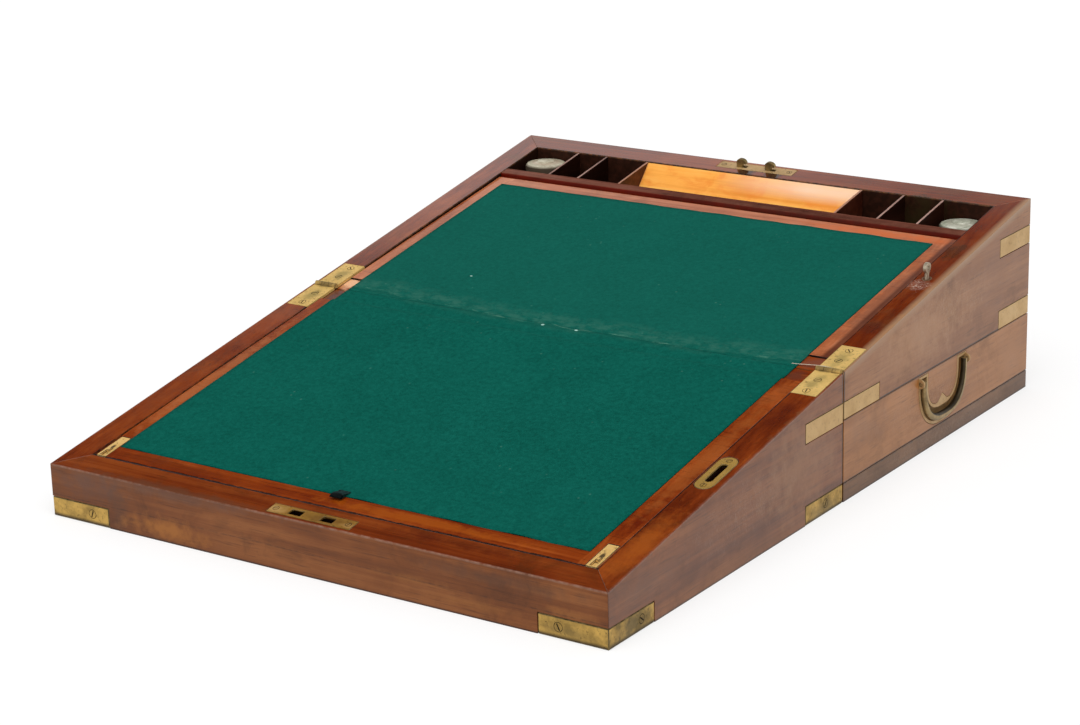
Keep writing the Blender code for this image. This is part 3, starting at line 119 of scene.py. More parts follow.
class Nodes:
    """Builds a tree's nodes. Textures and sums come back as sockets that later nodes take."""

    def __init__(self, tree):
        self.tree = tree

    def add(self, kind, **settings):
        node = self.tree.nodes.new(kind)
        for key, value in settings.items():
            setattr(node, key, value)
        return node

    def feed(self, socket, value):
        """Link a socket, or set a plain value on it."""
        if isinstance(value, bpy.types.NodeSocket):
            self.tree.links.new(value, socket)
        else:
            socket.default_value = value

    def fill(self, node, **values):
        """Feed a node's inputs by name, with _ for a space."""
        for key, value in values.items():
            self.feed(node.inputs[key.replace("_", " ")], value)

    def wire(self, kind, output, **values):
        """Add a node with its inputs filled, and take one of its outputs."""
        node = self.add(kind)
        self.fill(node, **values)
        return node.outputs[output]

    def calc(self, operation, first, second=0.0, third=0.0):
        node = self.add("ShaderNodeMath", operation=operation)
        for socket, value in zip(node.inputs, (first, second, third)):
            self.feed(socket, value)
        return node.outputs["Value"]

    def times(self, first, second):
        return self.calc("MULTIPLY", first, second)

    def vector(self, operation, first, second=(0, 0, 0)):
        node = self.add("ShaderNodeVectorMath", operation=operation)
        self.feed(node.inputs[0], first)
        self.feed(node.inputs[1], second)
        return node.outputs["Value" if operation in ("LENGTH", "DOT_PRODUCT") else "Vector"]

    def blend(self, *parts):
        """Weighted total of values, given as pairs of a value and its weight."""
        total = None
        for value, weight in parts:
            share = self.times(value, weight)
            total = share if total is None else self.calc("ADD", total, share)
        return total

    def span(self, value, low, high, to_low=0.0, to_high=1.0):
        """Map a range to another, clamped."""
        return self.wire("ShaderNodeMapRange", "Result", Value=value, From_Min=low, From_Max=high,
                         To_Min=to_low, To_Max=to_high)


class Shade(Nodes):
    """The nodes of one material, and the places and noises that its marks share."""

    def __init__(self, name):
        self.material = bpy.data.materials.new(name)
        self.material.use_nodes = True
        super().__init__(self.material.node_tree)
        self.surface = self.tree.nodes["Principled BSDF"]
        spots = self.add("ShaderNodeTexCoord").outputs
        self.place = spots["Object"]
        self.facing = spots["Normal"]

    def stretch(self, scale, shift=(0, 0, 0)):
        """The place in a texture's units, by one scale for all axes or one for each."""
        scale = scale if isinstance(scale, tuple) else (scale, scale, scale)
        return self.wire("ShaderNodeMapping", "Vector", Vector=self.place, Scale=scale, Location=shift)

    def noise(self, where, detail=4.0, rough=0.55, twist=0.0):
        return self.wire("ShaderNodeTexNoise", "Fac", Vector=where, Scale=1.0, Detail=detail, Roughness=rough,
                         Distortion=twist)

    def cells(self, where):
        return self.wire("ShaderNodeTexVoronoi", "Distance", Vector=where, Scale=1.0)

    def split(self, where):
        node = self.add("ShaderNodeSeparateXYZ")
        self.fill(node, Vector=where)
        return node.outputs

    def ramp(self, value, stops):
        node = self.add("ShaderNodeValToRGB")
        self.feed(node.inputs["Fac"], value)
        ramp = node.color_ramp
        while len(ramp.elements) < len(stops):
            ramp.elements.new(0.5)
        for element, (position, colour) in zip(ramp.elements, stops):
            element.position = position
            element.color = (*colour, 1)
        return node.outputs["Color"]

    def mix(self, factor, first, second):
        node = self.add("ShaderNodeMix", data_type="RGBA")
        self.feed(node.inputs["Factor"], factor)
        for key, value in (("A", first), ("B", second)):
            socket = [s for s in node.inputs if s.name == key and s.type == "RGBA"][0]
            self.feed(socket, (*value, 1) if isinstance(value, tuple) else value)
        return [s for s in node.outputs if s.type == "RGBA"][0]

    def bump(self, height, strength, depth):
        return self.wire("ShaderNodeBump", "Normal", Height=height, Strength=strength, Distance=depth)

    def set(self, **values):
        """Fill the surface's inputs."""
        self.fill(self.surface, **values)

    @cached_property
    def axes(self):
        return self.split(self.place)

    @cached_property
    def mirrored(self):
        """The place with its signs dropped, for marks that both sides and both halves share."""
        return self.vector("ABSOLUTE", self.place)

    @cached_property
    def upward(self):
        """1 on the faces that look up."""
        return self.span(self.split(self.facing)[2], TOP_FROM, TOP_FULL)

    @cached_property
    def above(self):
        """Height over the rim plane."""
        plane = self.calc("MULTIPLY_ADD", self.axes[1], SLOPE, HINGE_HEIGHT)
        return self.calc("SUBTRACT", self.axes[2], plane)

    @cached_property
    def outer(self):
        """Depth in from the nearest outer face of the walls."""
        wide, deep, _ = self.split(self.mirrored)
        from_end = self.calc("SUBTRACT", WIDTH / 2, wide)
        from_face = self.calc("SUBTRACT", HALF_DEPTH, deep)
        return self.calc("MINIMUM", from_end, from_face)

    @cached_property
    def inside(self):
        """1 on the faces inside the box and in the mortises of its walls, where walls get their painted
        shade.
        """
        below = self.span(self.above, -0.5 * MM, -1 * MM)
        off_joint = self.span(self.split(self.mirrored)[1], 3 * MM, 4 * MM)
        not_under = self.span(self.split(self.facing)[2], -TOP_FULL, -0.6)
        hidden = self.times(off_joint, not_under)
        within = self.span(self.outer, 0.6 * MM, 1 * MM)
        return self.times(within, self.times(below, hidden))

    @cached_property
    def ragged(self):
        """Noise that makes the outline of a blot uneven."""
        return self.span(self.noise(self.stretch(110), rough=0.65), 0.3, 0.7, -0.4, 0.4)

    @cached_property
    def broken(self):
        """Noise that breaks a line into dashes."""
        return self.span(self.noise(self.stretch(210, (5, 2, 1)), detail=3), 0.36, 0.60)

    def patch(self, centre, radii, soft=0.6, mirrored=False):
        """1 in a ragged soft blot and 0 outside it. Centre and radii in millimetres."""
        place = self.mirrored if mirrored else self.place
        offset = self.vector("SUBTRACT", place, tuple(c * MM for c in centre))
        away = self.vector("LENGTH", self.vector("DIVIDE", offset, tuple(r * MM for r in radii)))
        return self.span(self.calc("ADD", away, self.ragged), 1.0, 1.0 - soft)


# Marks: each makes a function that repaints a colour

# Dark dirt, also used for painted shade along the bottom edges and in the openings under the lock's hooks
GRIME_AND_SHADE = (0.018, 0.007, 0.004)
SLOT_SHADE = (0.004, 0.003, 0.002)
BAIL_SHADE = (0.008, 0.006, 0.003)


def blot(centre, radii, paint, strength=0.6, soft=0.6, mirrored=False):
    """Stain, bare place or bleached place."""
    def repaint(s, colour):
        return s.mix(s.times(s.patch(centre, radii, soft, mirrored), strength), colour, paint)
    return repaint


def seam(axis, at, half, paint=GRIME_AND_SHADE, strength=0.8, broken=False):
    """Line at one height or depth, in millimetres, on the faces that it crosses."""
    def repaint(s, colour):
        away = s.calc("ABSOLUTE", s.calc("SUBTRACT", s.axes[axis], at * MM))
        crossed = s.span(s.calc("ABSOLUTE", s.split(s.facing)[axis]), 0.8, 0.6, 0, strength)
        mask = s.times(s.span(away, half * MM, half * 0.4 * MM), crossed)
        return s.mix(s.times(mask, s.broken) if broken else mask, colour, paint)
    return repaint


def inner_grime(width=1.0):
    """Dirt on the rim along its inner edge."""
    def repaint(s, colour):
        wide, deep, _ = s.split(s.mirrored)
        inner = s.calc("MAXIMUM", s.calc("SUBTRACT", wide, INSIDE), s.calc("SUBTRACT", deep, END_INSIDE))
        line = s.span(inner, width * MM, width * 0.4 * MM)
        return s.mix(s.times(line, s.span(s.broken, 0, 1, 0.3, 0.9)), colour, GRIME_AND_SHADE)
    return repaint


def rubbed_edge_and_highlight(paint, strength, width=2.0, even=False):
    """Pale wear along the outer top edge, broken or even, which also serves as the painted highlight on that
    edge.
    """
    def repaint(s, colour):
        square = s.blend((s.times(s.outer, s.outer), 1), (s.times(s.above, s.above), 1))
        near = s.span(s.calc("SQRT", square), width * MM, width * 0.2 * MM)
        level = strength if even else s.span(s.broken, 0, 1, 0.3 * strength, strength)
        return s.mix(s.times(near, level), colour, paint)
    return repaint


def sunk_shade(s, colour):
    """Painted shade: faces below the rim plane go near black, as inside the slots of a plate."""
    return s.mix(s.span(s.above, -0.4 * MM, -0.9 * MM), colour, SLOT_SHADE)


def inner_side_shade(s, colour):
    """Painted shade on the inner side of a hanging bail's curve, on the faces that look toward its middle."""
    offset = s.vector("SUBTRACT", (0, BAIL_Y, BAIL_Z), s.vector("MULTIPLY", s.place, (0, 1, 1)))
    toward = s.vector("DOT_PRODUCT", s.vector("NORMALIZE", offset), s.facing)
    return s.mix(s.span(toward, 0.30, 0.62, 0, 0.9), colour, BAIL_SHADE)


def scuff(centre, radii, paint, strength):
    """Patch of thin scratches."""
    def repaint(s, colour):
        fine = s.noise(s.stretch((420, 1300, 420), (2, 7, 1)), detail=3, rough=0.7, twist=1.5)
        mask = s.times(s.patch(centre, radii, 0.8), s.span(fine, 0.50, 0.58, 0, strength))
        return s.mix(mask, colour, paint)
    return repaint


# Materials

# Texture scales of wood, along and across the grain or the same all ways
GRAIN_LONG = 5.0
GRAIN_CROSS = 260.0
FIGURE_LONG = 2.2
FIGURE_CROSS = 38.0
PORE_LONG = 55
PORE_CROSS = 1100
WOOD_CLOUD = 16
WOOD_STAIN = 26


def along(axis, long, cross):
    """Texture scale that stretches a pattern along one axis."""
    return tuple(long if letter == axis else cross for letter in "XYZ")


def grain_tone(s, grain, offset):
    """Fibres, broad figure and clouds as one value."""
    fibre = s.noise(s.stretch(along(grain, GRAIN_LONG, GRAIN_CROSS), offset), detail=6, rough=0.65)
    broad = s.stretch(along(grain, FIGURE_LONG, FIGURE_CROSS), offset)
    figure = s.noise(broad, detail=3, rough=0.5, twist=1.2)
    cloud = s.noise(s.stretch(WOOD_CLOUD, offset), detail=5, rough=0.6)
    return s.blend((fibre, 0.34), (figure, 0.36), (cloud, 0.30))


def stops(palette, reach=0.10):
    """Ramp stops for a palette of dark, middle and light."""
    return list(zip((0.50 - reach, 0.50, 0.50 + reach), palette))


def wood(name, grain, palette, top=None, cross=None, rough=0.32, top_rough=0.07, shine=0.5, top_shine=0.5,
         stain=0.55, shift=0.0, hollow_shade=None, marks=()):
    """Polished mahogany: grain, dark pores, stains, and the marks of use.

    A palette is dark, middle and light. The top palette colours the faces that look up. Where |x| is beyond
    the cross width, the grain runs along Y, as in the side strips of a mitred border. A wall can take a
    colour of painted shade for its faces inside the box and in its mortises, where it also shines less.
    """
    s = Shade(name)
    offset = (shift, shift * 1.7, shift * 0.6)
    tone = grain_tone(s, grain, offset)
    if cross:
        beyond = s.span(s.split(s.mirrored)[0], cross, cross + 0.2 * MM)
        tone = s.blend((tone, s.calc("SUBTRACT", 1.0, beyond)), (grain_tone(s, "Y", offset), beyond))
    colour = s.ramp(tone, stops(palette))
    if top:
        colour = s.mix(s.upward, colour, s.ramp(tone, stops(top)))
    pores = s.noise(s.stretch(along(grain, PORE_LONG, PORE_CROSS), offset), detail=2, rough=0.5)
    pores = s.span(pores, 0.58, 0.72)
    colour = s.mix(s.times(pores, 0.45), colour, tuple(c * 0.35 for c in palette[0]))
    patches = s.noise(s.stretch(WOOD_STAIN, offset), detail=5, rough=0.7, twist=0.6)
    colour = s.mix(s.span(patches, 0.52, 0.70, 0, stain), colour, tuple(c * 0.6 for c in palette[0]))
    gloss = shine if shine == top_shine else s.span(s.upward, 0, 1, shine, top_shine)
    # Painted shade on the faces inside the box, which also shine less there
    if hollow_shade:
        colour = s.mix(s.inside, colour, hollow_shade)
        gloss = s.times(gloss, s.span(s.inside, 0, 1, 1, 0.1))
    for mark in marks:
        colour = mark(s, colour)
    uneven = s.times(s.span(patches, 0.35, 0.75, 0, 0.12), s.span(s.upward, 0, 1, 1, 0.3))
    s.set(Base_Color=colour, Specular_IOR_Level=gloss)
    s.set(Roughness=s.calc("ADD", s.span(s.upward, 0, 1, rough, top_rough), uneven))
    s.set(Normal=s.bump(s.blend((tone, 0.5), (pores, -0.5)), 0.05, 0.1 * MM))
    return s.material


BRASS_CLOUD = 75
BRASS_SPOT = 420
BRASS_LINES = (70, 70, 2200)


def brass(name, colour, tarnish, rough=0.42, dull=0.5, metal=0.4, spots=0.75, shine=0.5, marks=()):
    """Old brass: lacquer worn in clouds, dark tarnish in spots, brushed lines and small dents."""
    s = Shade(name)
    cloud = s.noise(s.stretch(BRASS_CLOUD), detail=5, rough=0.65)
    spot = s.noise(s.stretch(BRASS_SPOT), detail=3, rough=0.6)
    line = s.noise(s.stretch(BRASS_LINES), detail=2, rough=0.5)
    shade = s.mix(s.span(cloud, 0.40, 0.64, 0, dull), colour, tarnish)
    shade = s.mix(s.span(spot, 0.58, 0.72, 0, spots), shade, tuple(c * 0.3 for c in tarnish))
    for mark in marks:
        shade = mark(s, shade)
    s.set(Base_Color=shade, Metallic=metal, Specular_IOR_Level=shine)
    s.set(Roughness=s.span(cloud, 0.3, 0.7, rough - 0.06, rough + 0.2))
    s.set(Normal=s.bump(s.blend((spot, 0.6), (line, 0.4)), 0.22, 0.12 * MM))
    return s.material


REST_PLACE = "rest_place"
BAIZE_NAP = 1500
BAIZE_TUFT = 330
BAIZE_CLOUD = 24
LINT = (0.10, 0.26, 0.20)
RUBBED = (0.032, 0.138, 0.102)
RIDGE = (0.085, 0.23, 0.165)
RIDGE_WANDER = 3.5 * MM


def felt(name, palette, paler, marks):
    """Wool baize: short nap, faint mottling, lint, and a rubbed uneven ridge that wanders along the fold,
    with painted shade along the ridge's lid side.

    The pattern is laid out on the places that the cloth has at rest, so it bends with the cloth.
    """
    s = Shade(name)
    s.place = s.add("ShaderNodeAttribute", attribute_name=REST_PLACE).outputs["Vector"]
    nap = s.noise(s.stretch(BAIZE_NAP), detail=3, rough=0.7)
    tuft = s.noise(s.stretch(BAIZE_TUFT), detail=5, rough=0.7)
    cloud = s.noise(s.stretch(BAIZE_CLOUD), detail=5, rough=0.65)
    colour = s.ramp(s.blend((nap, 0.40), (tuft, 0.46), (cloud, 0.14)), stops(palette, 0.14))
    colour = s.mix(s.span(s.axes[1], 0, 20 * MM, 0, 0.3), colour, paler)
    lint = s.cells(s.stretch((150, 150, 40)))
    pick = s.noise(s.stretch(48, (3, 1, 2)), detail=2)
    speck = s.times(s.span(lint, 0.14, 0.06), s.span(pick, 0.57, 0.64))
    colour = s.mix(s.times(speck, 0.3), colour, LINT)
    wander = s.noise(s.stretch((15, 0, 0), (1, 0, 0)), detail=5, rough=0.6)
    bow = s.calc("MULTIPLY_ADD", s.times(s.axes[0], s.axes[0]), 0.28, -0.5 * MM)
    middle = s.calc("ADD", bow, s.span(wander, 0.3, 0.7, -RIDGE_WANDER, RIDGE_WANDER))
    across = s.calc("SUBTRACT", s.axes[1], middle)
    away = s.calc("ABSOLUTE", across)
    wisp = s.noise(s.stretch((70, 330, 70), (4, 2, 9)), detail=5, rough=0.65, twist=0.8)
    worn = s.noise(s.stretch((95, 150, 95), (2, 6, 3)), detail=5, rough=0.7)
    band = s.span(s.calc("ABSOLUTE", s.calc("SUBTRACT", across, 5 * MM)), 13 * MM, 1 * MM)
    colour = s.mix(s.times(band, s.span(worn, 0.42, 0.62, 0.08, 0.75)), colour, RUBBED)
    # Painted shade: a darker line just on the lid side of the ridge
    crease_shade = s.span(s.calc("ABSOLUTE", s.calc("ADD", across, 2.4 * MM)), 2.2 * MM, 0.3 * MM)
    colour = s.mix(s.times(crease_shade, s.span(tuft, 0.38, 0.58, 0, 0.5)), colour, palette[0])
    ridge = s.times(s.span(away, 1.6 * MM, 0.3 * MM), s.span(wisp, 0.53, 0.62, 0, 0.7))
    colour = s.mix(ridge, colour, RIDGE)
    for mark in marks:
        colour = mark(s, colour)
    s.set(Base_Color=colour, Roughness=0.95, Specular_IOR_Level=0.02)
    s.set(Normal=s.bump(s.blend((nap, 0.5), (tuft, 0.5)), 0.5, 0.3 * MM))
    return s.material


CAP_RING = 8.5 * MM
CAP_SIDE_SHADE = 0.14


def cap_plating(name, centre, bright, dull, ring):
    """Inkwell cap: worn plating in rings round its middle, with sides painted near black as shade."""
    s = Shade(name)
    cloud = s.noise(s.stretch(150), detail=5, rough=0.7)
    offset = s.vector("SUBTRACT", s.place, (*centre, 0))
    away = s.vector("LENGTH", s.vector("MULTIPLY", offset, (1, 1, 0)))
    away = s.calc("ADD", away, s.span(cloud, 0.3, 0.7, -1 * MM, 1 * MM))
    colour = s.mix(s.span(cloud, 0.40, 0.62), bright, dull)
    worn = s.span(s.calc("ABSOLUTE", s.calc("SUBTRACT", away, CAP_RING)), 3 * MM, 0.8 * MM)
    colour = s.mix(s.times(worn, 0.6), colour, ring)
    # Painted shade: the sides are a near-black copy of the ring colour
    colour = s.mix(s.upward, tuple(c * CAP_SIDE_SHADE for c in ring), colour)
    s.set(Base_Color=colour, Metallic=s.span(s.upward, 0, 1, 0, 0.25))
    s.set(Specular_IOR_Level=s.span(s.upward, 0, 1, 0.05, 0.5))
    s.set(Roughness=s.span(cloud, 0.3, 0.7, 0.25, 0.5), Normal=s.bump(cloud, 0.3, 0.3 * MM))
    return s.material


def ink_glass(name):
    """Thick green-white glass with slow waves."""
    s = Shade(name)
    wave = s.noise(s.stretch(40), detail=2)
    s.set(Base_Color=(0.86, 0.93, 0.90, 1), Roughness=0.03, Transmission_Weight=1.0, IOR=1.5)
    s.set(Normal=s.bump(wave, 0.15, 0.5 * MM))
    return s.material


def mottled(name, dark, light, rough=0.9, fine=900, marks=()):
    """Rough matter of two shades, such as old dirt or thread."""
    s = Shade(name)
    grime = s.noise(s.stretch(fine), detail=3)
    colour = s.ramp(grime, [(0.3, dark), (0.7, light)])
    for mark in marks:
        colour = mark(s, colour)
    s.set(Base_Color=colour, Roughness=rough, Specular_IOR_Level=0.1)
    return s.material


TRAY_MOTTLE = (45, 110, 60)
TRAY_STREAK = (0.86, 0.24, 0.026)
TRAY_HIGHLIGHT = (0.98, 0.70, 0.50)
TRAY_END_TOP = (0.36, 0.17, 0.11)
TRAY_MIDDLE = -1.2 * MM
TRAY_FLOOR_HALF = 85.3 * MM
TRAY_END_INSIDE = 85.9 * MM


def tray_wood(name, palette, shaded_ends):
    """Pale tray floor with a painted highlight at its back right, between end boards whose upright faces are
    painted dark as shade.
    """
    s = Shade(name)
    tone = grain_tone(s, "X", (7.0, 2.0, 4.0))
    colour = s.ramp(tone, stops(palette))
    mottle = s.noise(s.stretch(TRAY_MOTTLE, (1, 4, 2)), detail=5, rough=0.65, twist=0.8)
    colour = s.mix(s.span(mottle, 0.48, 0.62, 0, 0.55), colour, TRAY_STREAK)
    # Painted highlight: a pale peach patch on the back right of the tray floor
    painted_highlight = s.times(s.span(s.axes[1], 233 * MM, 239 * MM), s.span(s.axes[0], -30 * MM, 45 * MM))
    painted_highlight = s.times(painted_highlight, s.span(tone, 0.35, 0.60, 0.95, 0.55))
    colour = s.mix(painted_highlight, colour, TRAY_HIGHLIGHT)
    # Painted shade on the upright faces of the end boards
    side = s.span(s.calc("ABSOLUTE", s.split(s.facing)[0]), 0.6, 0.8)
    colour = s.mix(side, colour, s.ramp(tone, stops(shaded_ends)))
    away = s.calc("ABSOLUTE", s.calc("SUBTRACT", s.axes[0], TRAY_MIDDLE))
    end_top = s.times(s.upward, s.span(away, TRAY_FLOOR_HALF, TRAY_END_INSIDE))
    colour = s.mix(end_top, colour, TRAY_END_TOP)
    s.set(Base_Color=colour, Roughness=0.42, Specular_IOR_Level=0.2, Normal=s.bump(tone, 0.1, 0.1 * MM))
    return s.material


# Palettes of dark, middle and light
RIM = ((0.105, 0.013, 0.001), (0.188, 0.029, 0.003), (0.275, 0.056, 0.008))
PIN_RIM = ((0.085, 0.009, 0.0005), (0.148, 0.019, 0.001), (0.21, 0.036, 0.003))
FRONT_RIM = ((0.090, 0.011, 0.001), (0.160, 0.025, 0.003), (0.235, 0.048, 0.007))
SIDE = ((0.120, 0.032, 0.006), (0.190, 0.056, 0.011), (0.27, 0.090, 0.022))
FADED = ((0.215, 0.074, 0.019), (0.285, 0.109, 0.032), (0.36, 0.150, 0.050))
FRONT = ((0.115, 0.031, 0.005), (0.188, 0.053, 0.009), (0.265, 0.088, 0.021))
DRAWER = ((0.275, 0.095, 0.016), (0.35, 0.132, 0.028), (0.42, 0.170, 0.048))
BORDER = ((0.130, 0.013, 0.001), (0.235, 0.037, 0.003), (0.35, 0.075, 0.012))
SALMON = ((0.28, 0.070, 0.022), (0.41, 0.120, 0.045), (0.53, 0.19, 0.085))
RAIL_FACE = ((0.060, 0.003, 0.0005), (0.125, 0.006, 0.0005), (0.19, 0.014, 0.001))
RAIL_TOP = ((0.105, 0.032, 0.019), (0.170, 0.058, 0.036), (0.24, 0.100, 0.070))
# Painted shade: near-black wood for faces in the box's hollows and gaps, under the flaps and on the sides of
# the dividers
DIM_SHADE = ((0.006, 0.002, 0.001), (0.014, 0.004, 0.002), (0.030, 0.009, 0.005))
PALE_EDGE = ((0.15, 0.07, 0.052), (0.31, 0.165, 0.128), (0.50, 0.30, 0.24))
PLINTH = ((0.095, 0.034, 0.006), (0.145, 0.056, 0.012), (0.20, 0.085, 0.026))
TRAY = ((0.80, 0.28, 0.034), (0.97, 0.41, 0.066), (0.99, 0.52, 0.12))
TRAY_END_SHADE = ((0.022, 0.004, 0.002), (0.050, 0.010, 0.004), (0.10, 0.025, 0.010))
PINE = ((0.12, 0.050, 0.022), (0.22, 0.105, 0.05), (0.33, 0.18, 0.09))
BAIZE = ((0.0013, 0.058, 0.042), (0.0026, 0.089, 0.066), (0.0052, 0.119, 0.089))
TAB = ((0.001, 0.006, 0.007), (0.012, 0.045, 0.042))

GREY_WEAR = (0.150, 0.072, 0.044)
ORANGE = (0.31, 0.112, 0.024)
SMUDGE = (0.060, 0.032, 0.022)
DARK_RED = (0.075, 0.008, 0.002)
# Painted shade with a painted khaki sheen, for the inner faces of the right compartments
KHAKI_SHEEN = (0.030, 0.019, 0.007)
# Painted shade for the inner faces of the back wall
WARM_SHADE = (0.045, 0.014, 0.008)

BLACK = (0.006, 0.004, 0.003)
HINGE_JOINT = seam(1, 0, 2.2, BLACK, 0.95)
# Painted shade: a dark line along the bottom edge, where the box meets the floor
BOTTOM_SHADE_LINE = seam(2, 0, 1.4)

# Marks of each surface. A blot has a centre, radii, a paint, a strength and a softness
FRONT_MARKS = (
    inner_grime(0.7),
    rubbed_edge_and_highlight((0.30, 0.165, 0.115), 0.8, 1.3),
    blot((-118, -263, 31), (95, 5, 5), GREY_WEAR, 0.6, 0.95),
    blot((-105, -260, 34), (100, 5, 4), (0.125, 0.040, 0.016), 0.85, 0.9),
    blot((-172, -262, 25), (34, 6, 9), (0.118, 0.053, 0.034), 0.7, 0.8),
    blot((-148, -262, 14), (9, 6, 18), (0.085, 0.040, 0.022), 0.5, 0.9),
    blot((-112, -262, 9), (40, 6, 9), (0.36, 0.125, 0.020), 0.9, 0.9),
    blot((128, -262, 26), (78, 6, 6), SMUDGE, 0.38, 0.9),
    blot((70, -262, 14), (32, 6, 3.5), ORANGE, 0.45, 0.9),
    blot((112, -262, 8), (40, 6, 4), ORANGE, 0.5, 0.9),
    blot((178, -262, 16), (22, 6, 3.5), ORANGE, 0.6, 0.8),
    blot((95, -249, 36), (60, 5, 5), DARK_RED, 0.6, 0.8),
    blot((-60, -250, 36), (40, 5, 5), DARK_RED, 0.4, 0.8),
    BOTTOM_SHADE_LINE,
    seam(2, 14.4, 0.6, GRIME_AND_SHADE, 0.4, True),
)
LID_RIGHT_MARKS = (
    inner_grime(),
    rubbed_edge_and_highlight((0.24, 0.12, 0.085), 0.5, 1.6),
    blot((193, -215, 43), (11, 62, 12), (0.33, 0.075, 0.008), 0.75, 0.8),
    blot((193, -58, 72), (10, 30, 8), DARK_RED, 0.7, 0.8),
    blot((203, -226, 24), (6, 50, 12), (0.12, 0.050, 0.026), 0.4, 0.9),
    blot((203, -110, 4), (6, 125, 10), (0.20, 0.068, 0.014), 0.5, 0.9),
    blot((203, -52, 40), (6, 56, 36), (0.29, 0.126, 0.048), 0.7, 0.9),
    scuff((203, -120, 34), (6, 70, 22), (0.32, 0.20, 0.14), 0.35),
    HINGE_JOINT,
    BOTTOM_SHADE_LINE,
)
LID_LEFT_MARKS = (
    inner_grime(),
    rubbed_edge_and_highlight((0.30, 0.13, 0.08), 0.5, 1.3),
    blot((-193, -170, 51), (11, 90, 20), (0.225, 0.042, 0.006), 0.6, 0.8),
    blot((-193, -62, 71), (11, 56, 14), (0.27, 0.056, 0.014), 0.6, 0.8),
    HINGE_JOINT,
    BOTTOM_SHADE_LINE,
)
BASE_RIGHT_MARKS = (
    inner_grime(),
    rubbed_edge_and_highlight((0.38, 0.225, 0.125), 0.85, 5.5, True),
    blot((191, 60, 94), (8, 16, 6), DARK_RED, 0.6),
    blot((191, 172, 116), (8, 18, 6), (0.055, 0.018, 0.004), 0.6),
    scuff((190, 120, 106), (9, 9, 4), (0.60, 0.45, 0.36), 0.9),
    blot((203, 100, 82), (6, 85, 26), (0.40, 0.185, 0.070), 0.7, 0.9),
    scuff((203, 130, 86), (6, 80, 26), (0.44, 0.29, 0.20), 0.3),
    HINGE_JOINT,
    seam(2, 53, 1.1, BLACK, 0.95),
)
BASE_LEFT_MARKS = (
    inner_grime(),
    rubbed_edge_and_highlight((0.30, 0.17, 0.12), 0.6, 1.6),
    HINGE_JOINT,
    BOTTOM_SHADE_LINE,
)
BACK_MARKS = (
    inner_grime(),
    rubbed_edge_and_highlight((0.10, 0.045, 0.03), 0.6, 1.2),
    # Painted khaki sheen on the inner face of the back wall in the right compartments
    blot((135, 243.5, 100), (28, 6, 40), KHAKI_SHEEN, 0.9),
    # Painted shade in the openings under the lock's hooks
    blot((-9, 247, 129), (10, 6, 6), GRIME_AND_SHADE, 0.9, 0.5),
    blot((14, 247, 129), (10, 6, 6), GRIME_AND_SHADE, 0.9, 0.5),
    BOTTOM_SHADE_LINE,
)
LID_HINGE_MARKS = (
    blot((-181, -9, 79), (8, 11, 6), (0.115, 0.045, 0.034), 0.9),
    blot((176, -9, 79), (10, 9, 6), (0.11, 0.028, 0.014), 0.8),
)
BASE_HINGE_MARKS = (
    blot((-180, 10, 83), (8, 12, 6), (0.80, 0.44, 0.24), 1.0),
    blot((178, 9, 83), (10, 9, 6), (0.19, 0.060, 0.035), 0.8),
)
FLAP_MARKS = (
    seam(1, -242.1, 0.7, GRIME_AND_SHADE, 0.95, True),
    blot((-179, -130, 58), (6, 110, 26), (0.39, 0.118, 0.038), 0.7),
    blot((60, -236, 38), (90, 5, 4), (0.36, 0.080, 0.006), 0.6),
    blot((-130, -236, 38), (60, 5, 4), (0.125, 0.018, 0.002), 0.6),
    blot((178, -120, 60), (7, 95, 24), (0.31, 0.080, 0.015), 0.6),
)
BASE_FLAP_MARKS = (
    blot((178, 100, 101), (9, 80, 20), (0.21, 0.080, 0.046), 0.6),
    # Painted shade on the outer strip of the border beside the right rim
    seam(0, 182, 4.5, (0.065, 0.016, 0.010), 0.75),
    blot((130, 188, 116), (75, 7, 8), (0.54, 0.115, 0.022), 0.85, 0.8),
)
DRAWER_MARKS = (
    seam(2, 52.8, 0.9, BLACK, 0.9),
    seam(2, 12.3, 1.0, GRIME_AND_SHADE, 0.95),
    blot((203, 232, 30), (6, 34, 22), (0.37, 0.150, 0.042), 0.6, 0.9),
    blot((203, 30, 40), (6, 34, 14), (0.20, 0.085, 0.036), 0.4, 0.9),
    scuff((203, 120, 34), (6, 90, 20), (0.46, 0.25, 0.14), 0.35),
)
PLINTH_MARKS = (
    seam(2, 12, 1.0, GRIME_AND_SHADE, 0.9, True),
    # Painted shade along the bottom edge, where the box meets the floor
    seam(2, 0, 1.6),
    scuff((203, 130, 6), (6, 130, 7), (0.28, 0.19, 0.13), 0.4),
)
RAIL_MARKS = (
    blot((70, 197, 120), (130, 9, 14), (0.055, 0.014, 0.008), 0.6, 0.9),
)
# Painted shade along the brackets' bottom edge, and tarnished patches low on their sides
LOW_SHADE_AND_TARNISH = (
    seam(2, 0, 3.0, (0.030, 0.020, 0.008), 0.9),
    blot((203, -238, 6), (6, 24, 9), (0.075, 0.056, 0.020), 0.75, 0.8),
    blot((203, -24, 5), (6, 26, 6), (0.13, 0.095, 0.038), 0.6, 0.8),
    blot((180, -262, 5), (24, 6, 4), (0.17, 0.115, 0.036), 0.6, 0.8),
)
LEAF_MARKS = (
    blot((192, 16, 84), (5.5, 11, 40), (0.32, 0.235, 0.070), 0.75, 0.7, True),
    blot((193, 1, 84), (12, 3, 40), (0.10, 0.07, 0.03), 0.75, 0.6, True),
)
STRIKE_MARKS = (
    sunk_shade,
    blot((-32, -254.6, 35), (9, 7, 5), (0.42, 0.25, 0.085), 0.85),
    blot((6, -254.6, 35), (24, 5, 5), (0.14, 0.062, 0.010), 0.7),
    blot((24, -256, 35), (9, 3, 5), (0.36, 0.20, 0.060), 0.7),
)
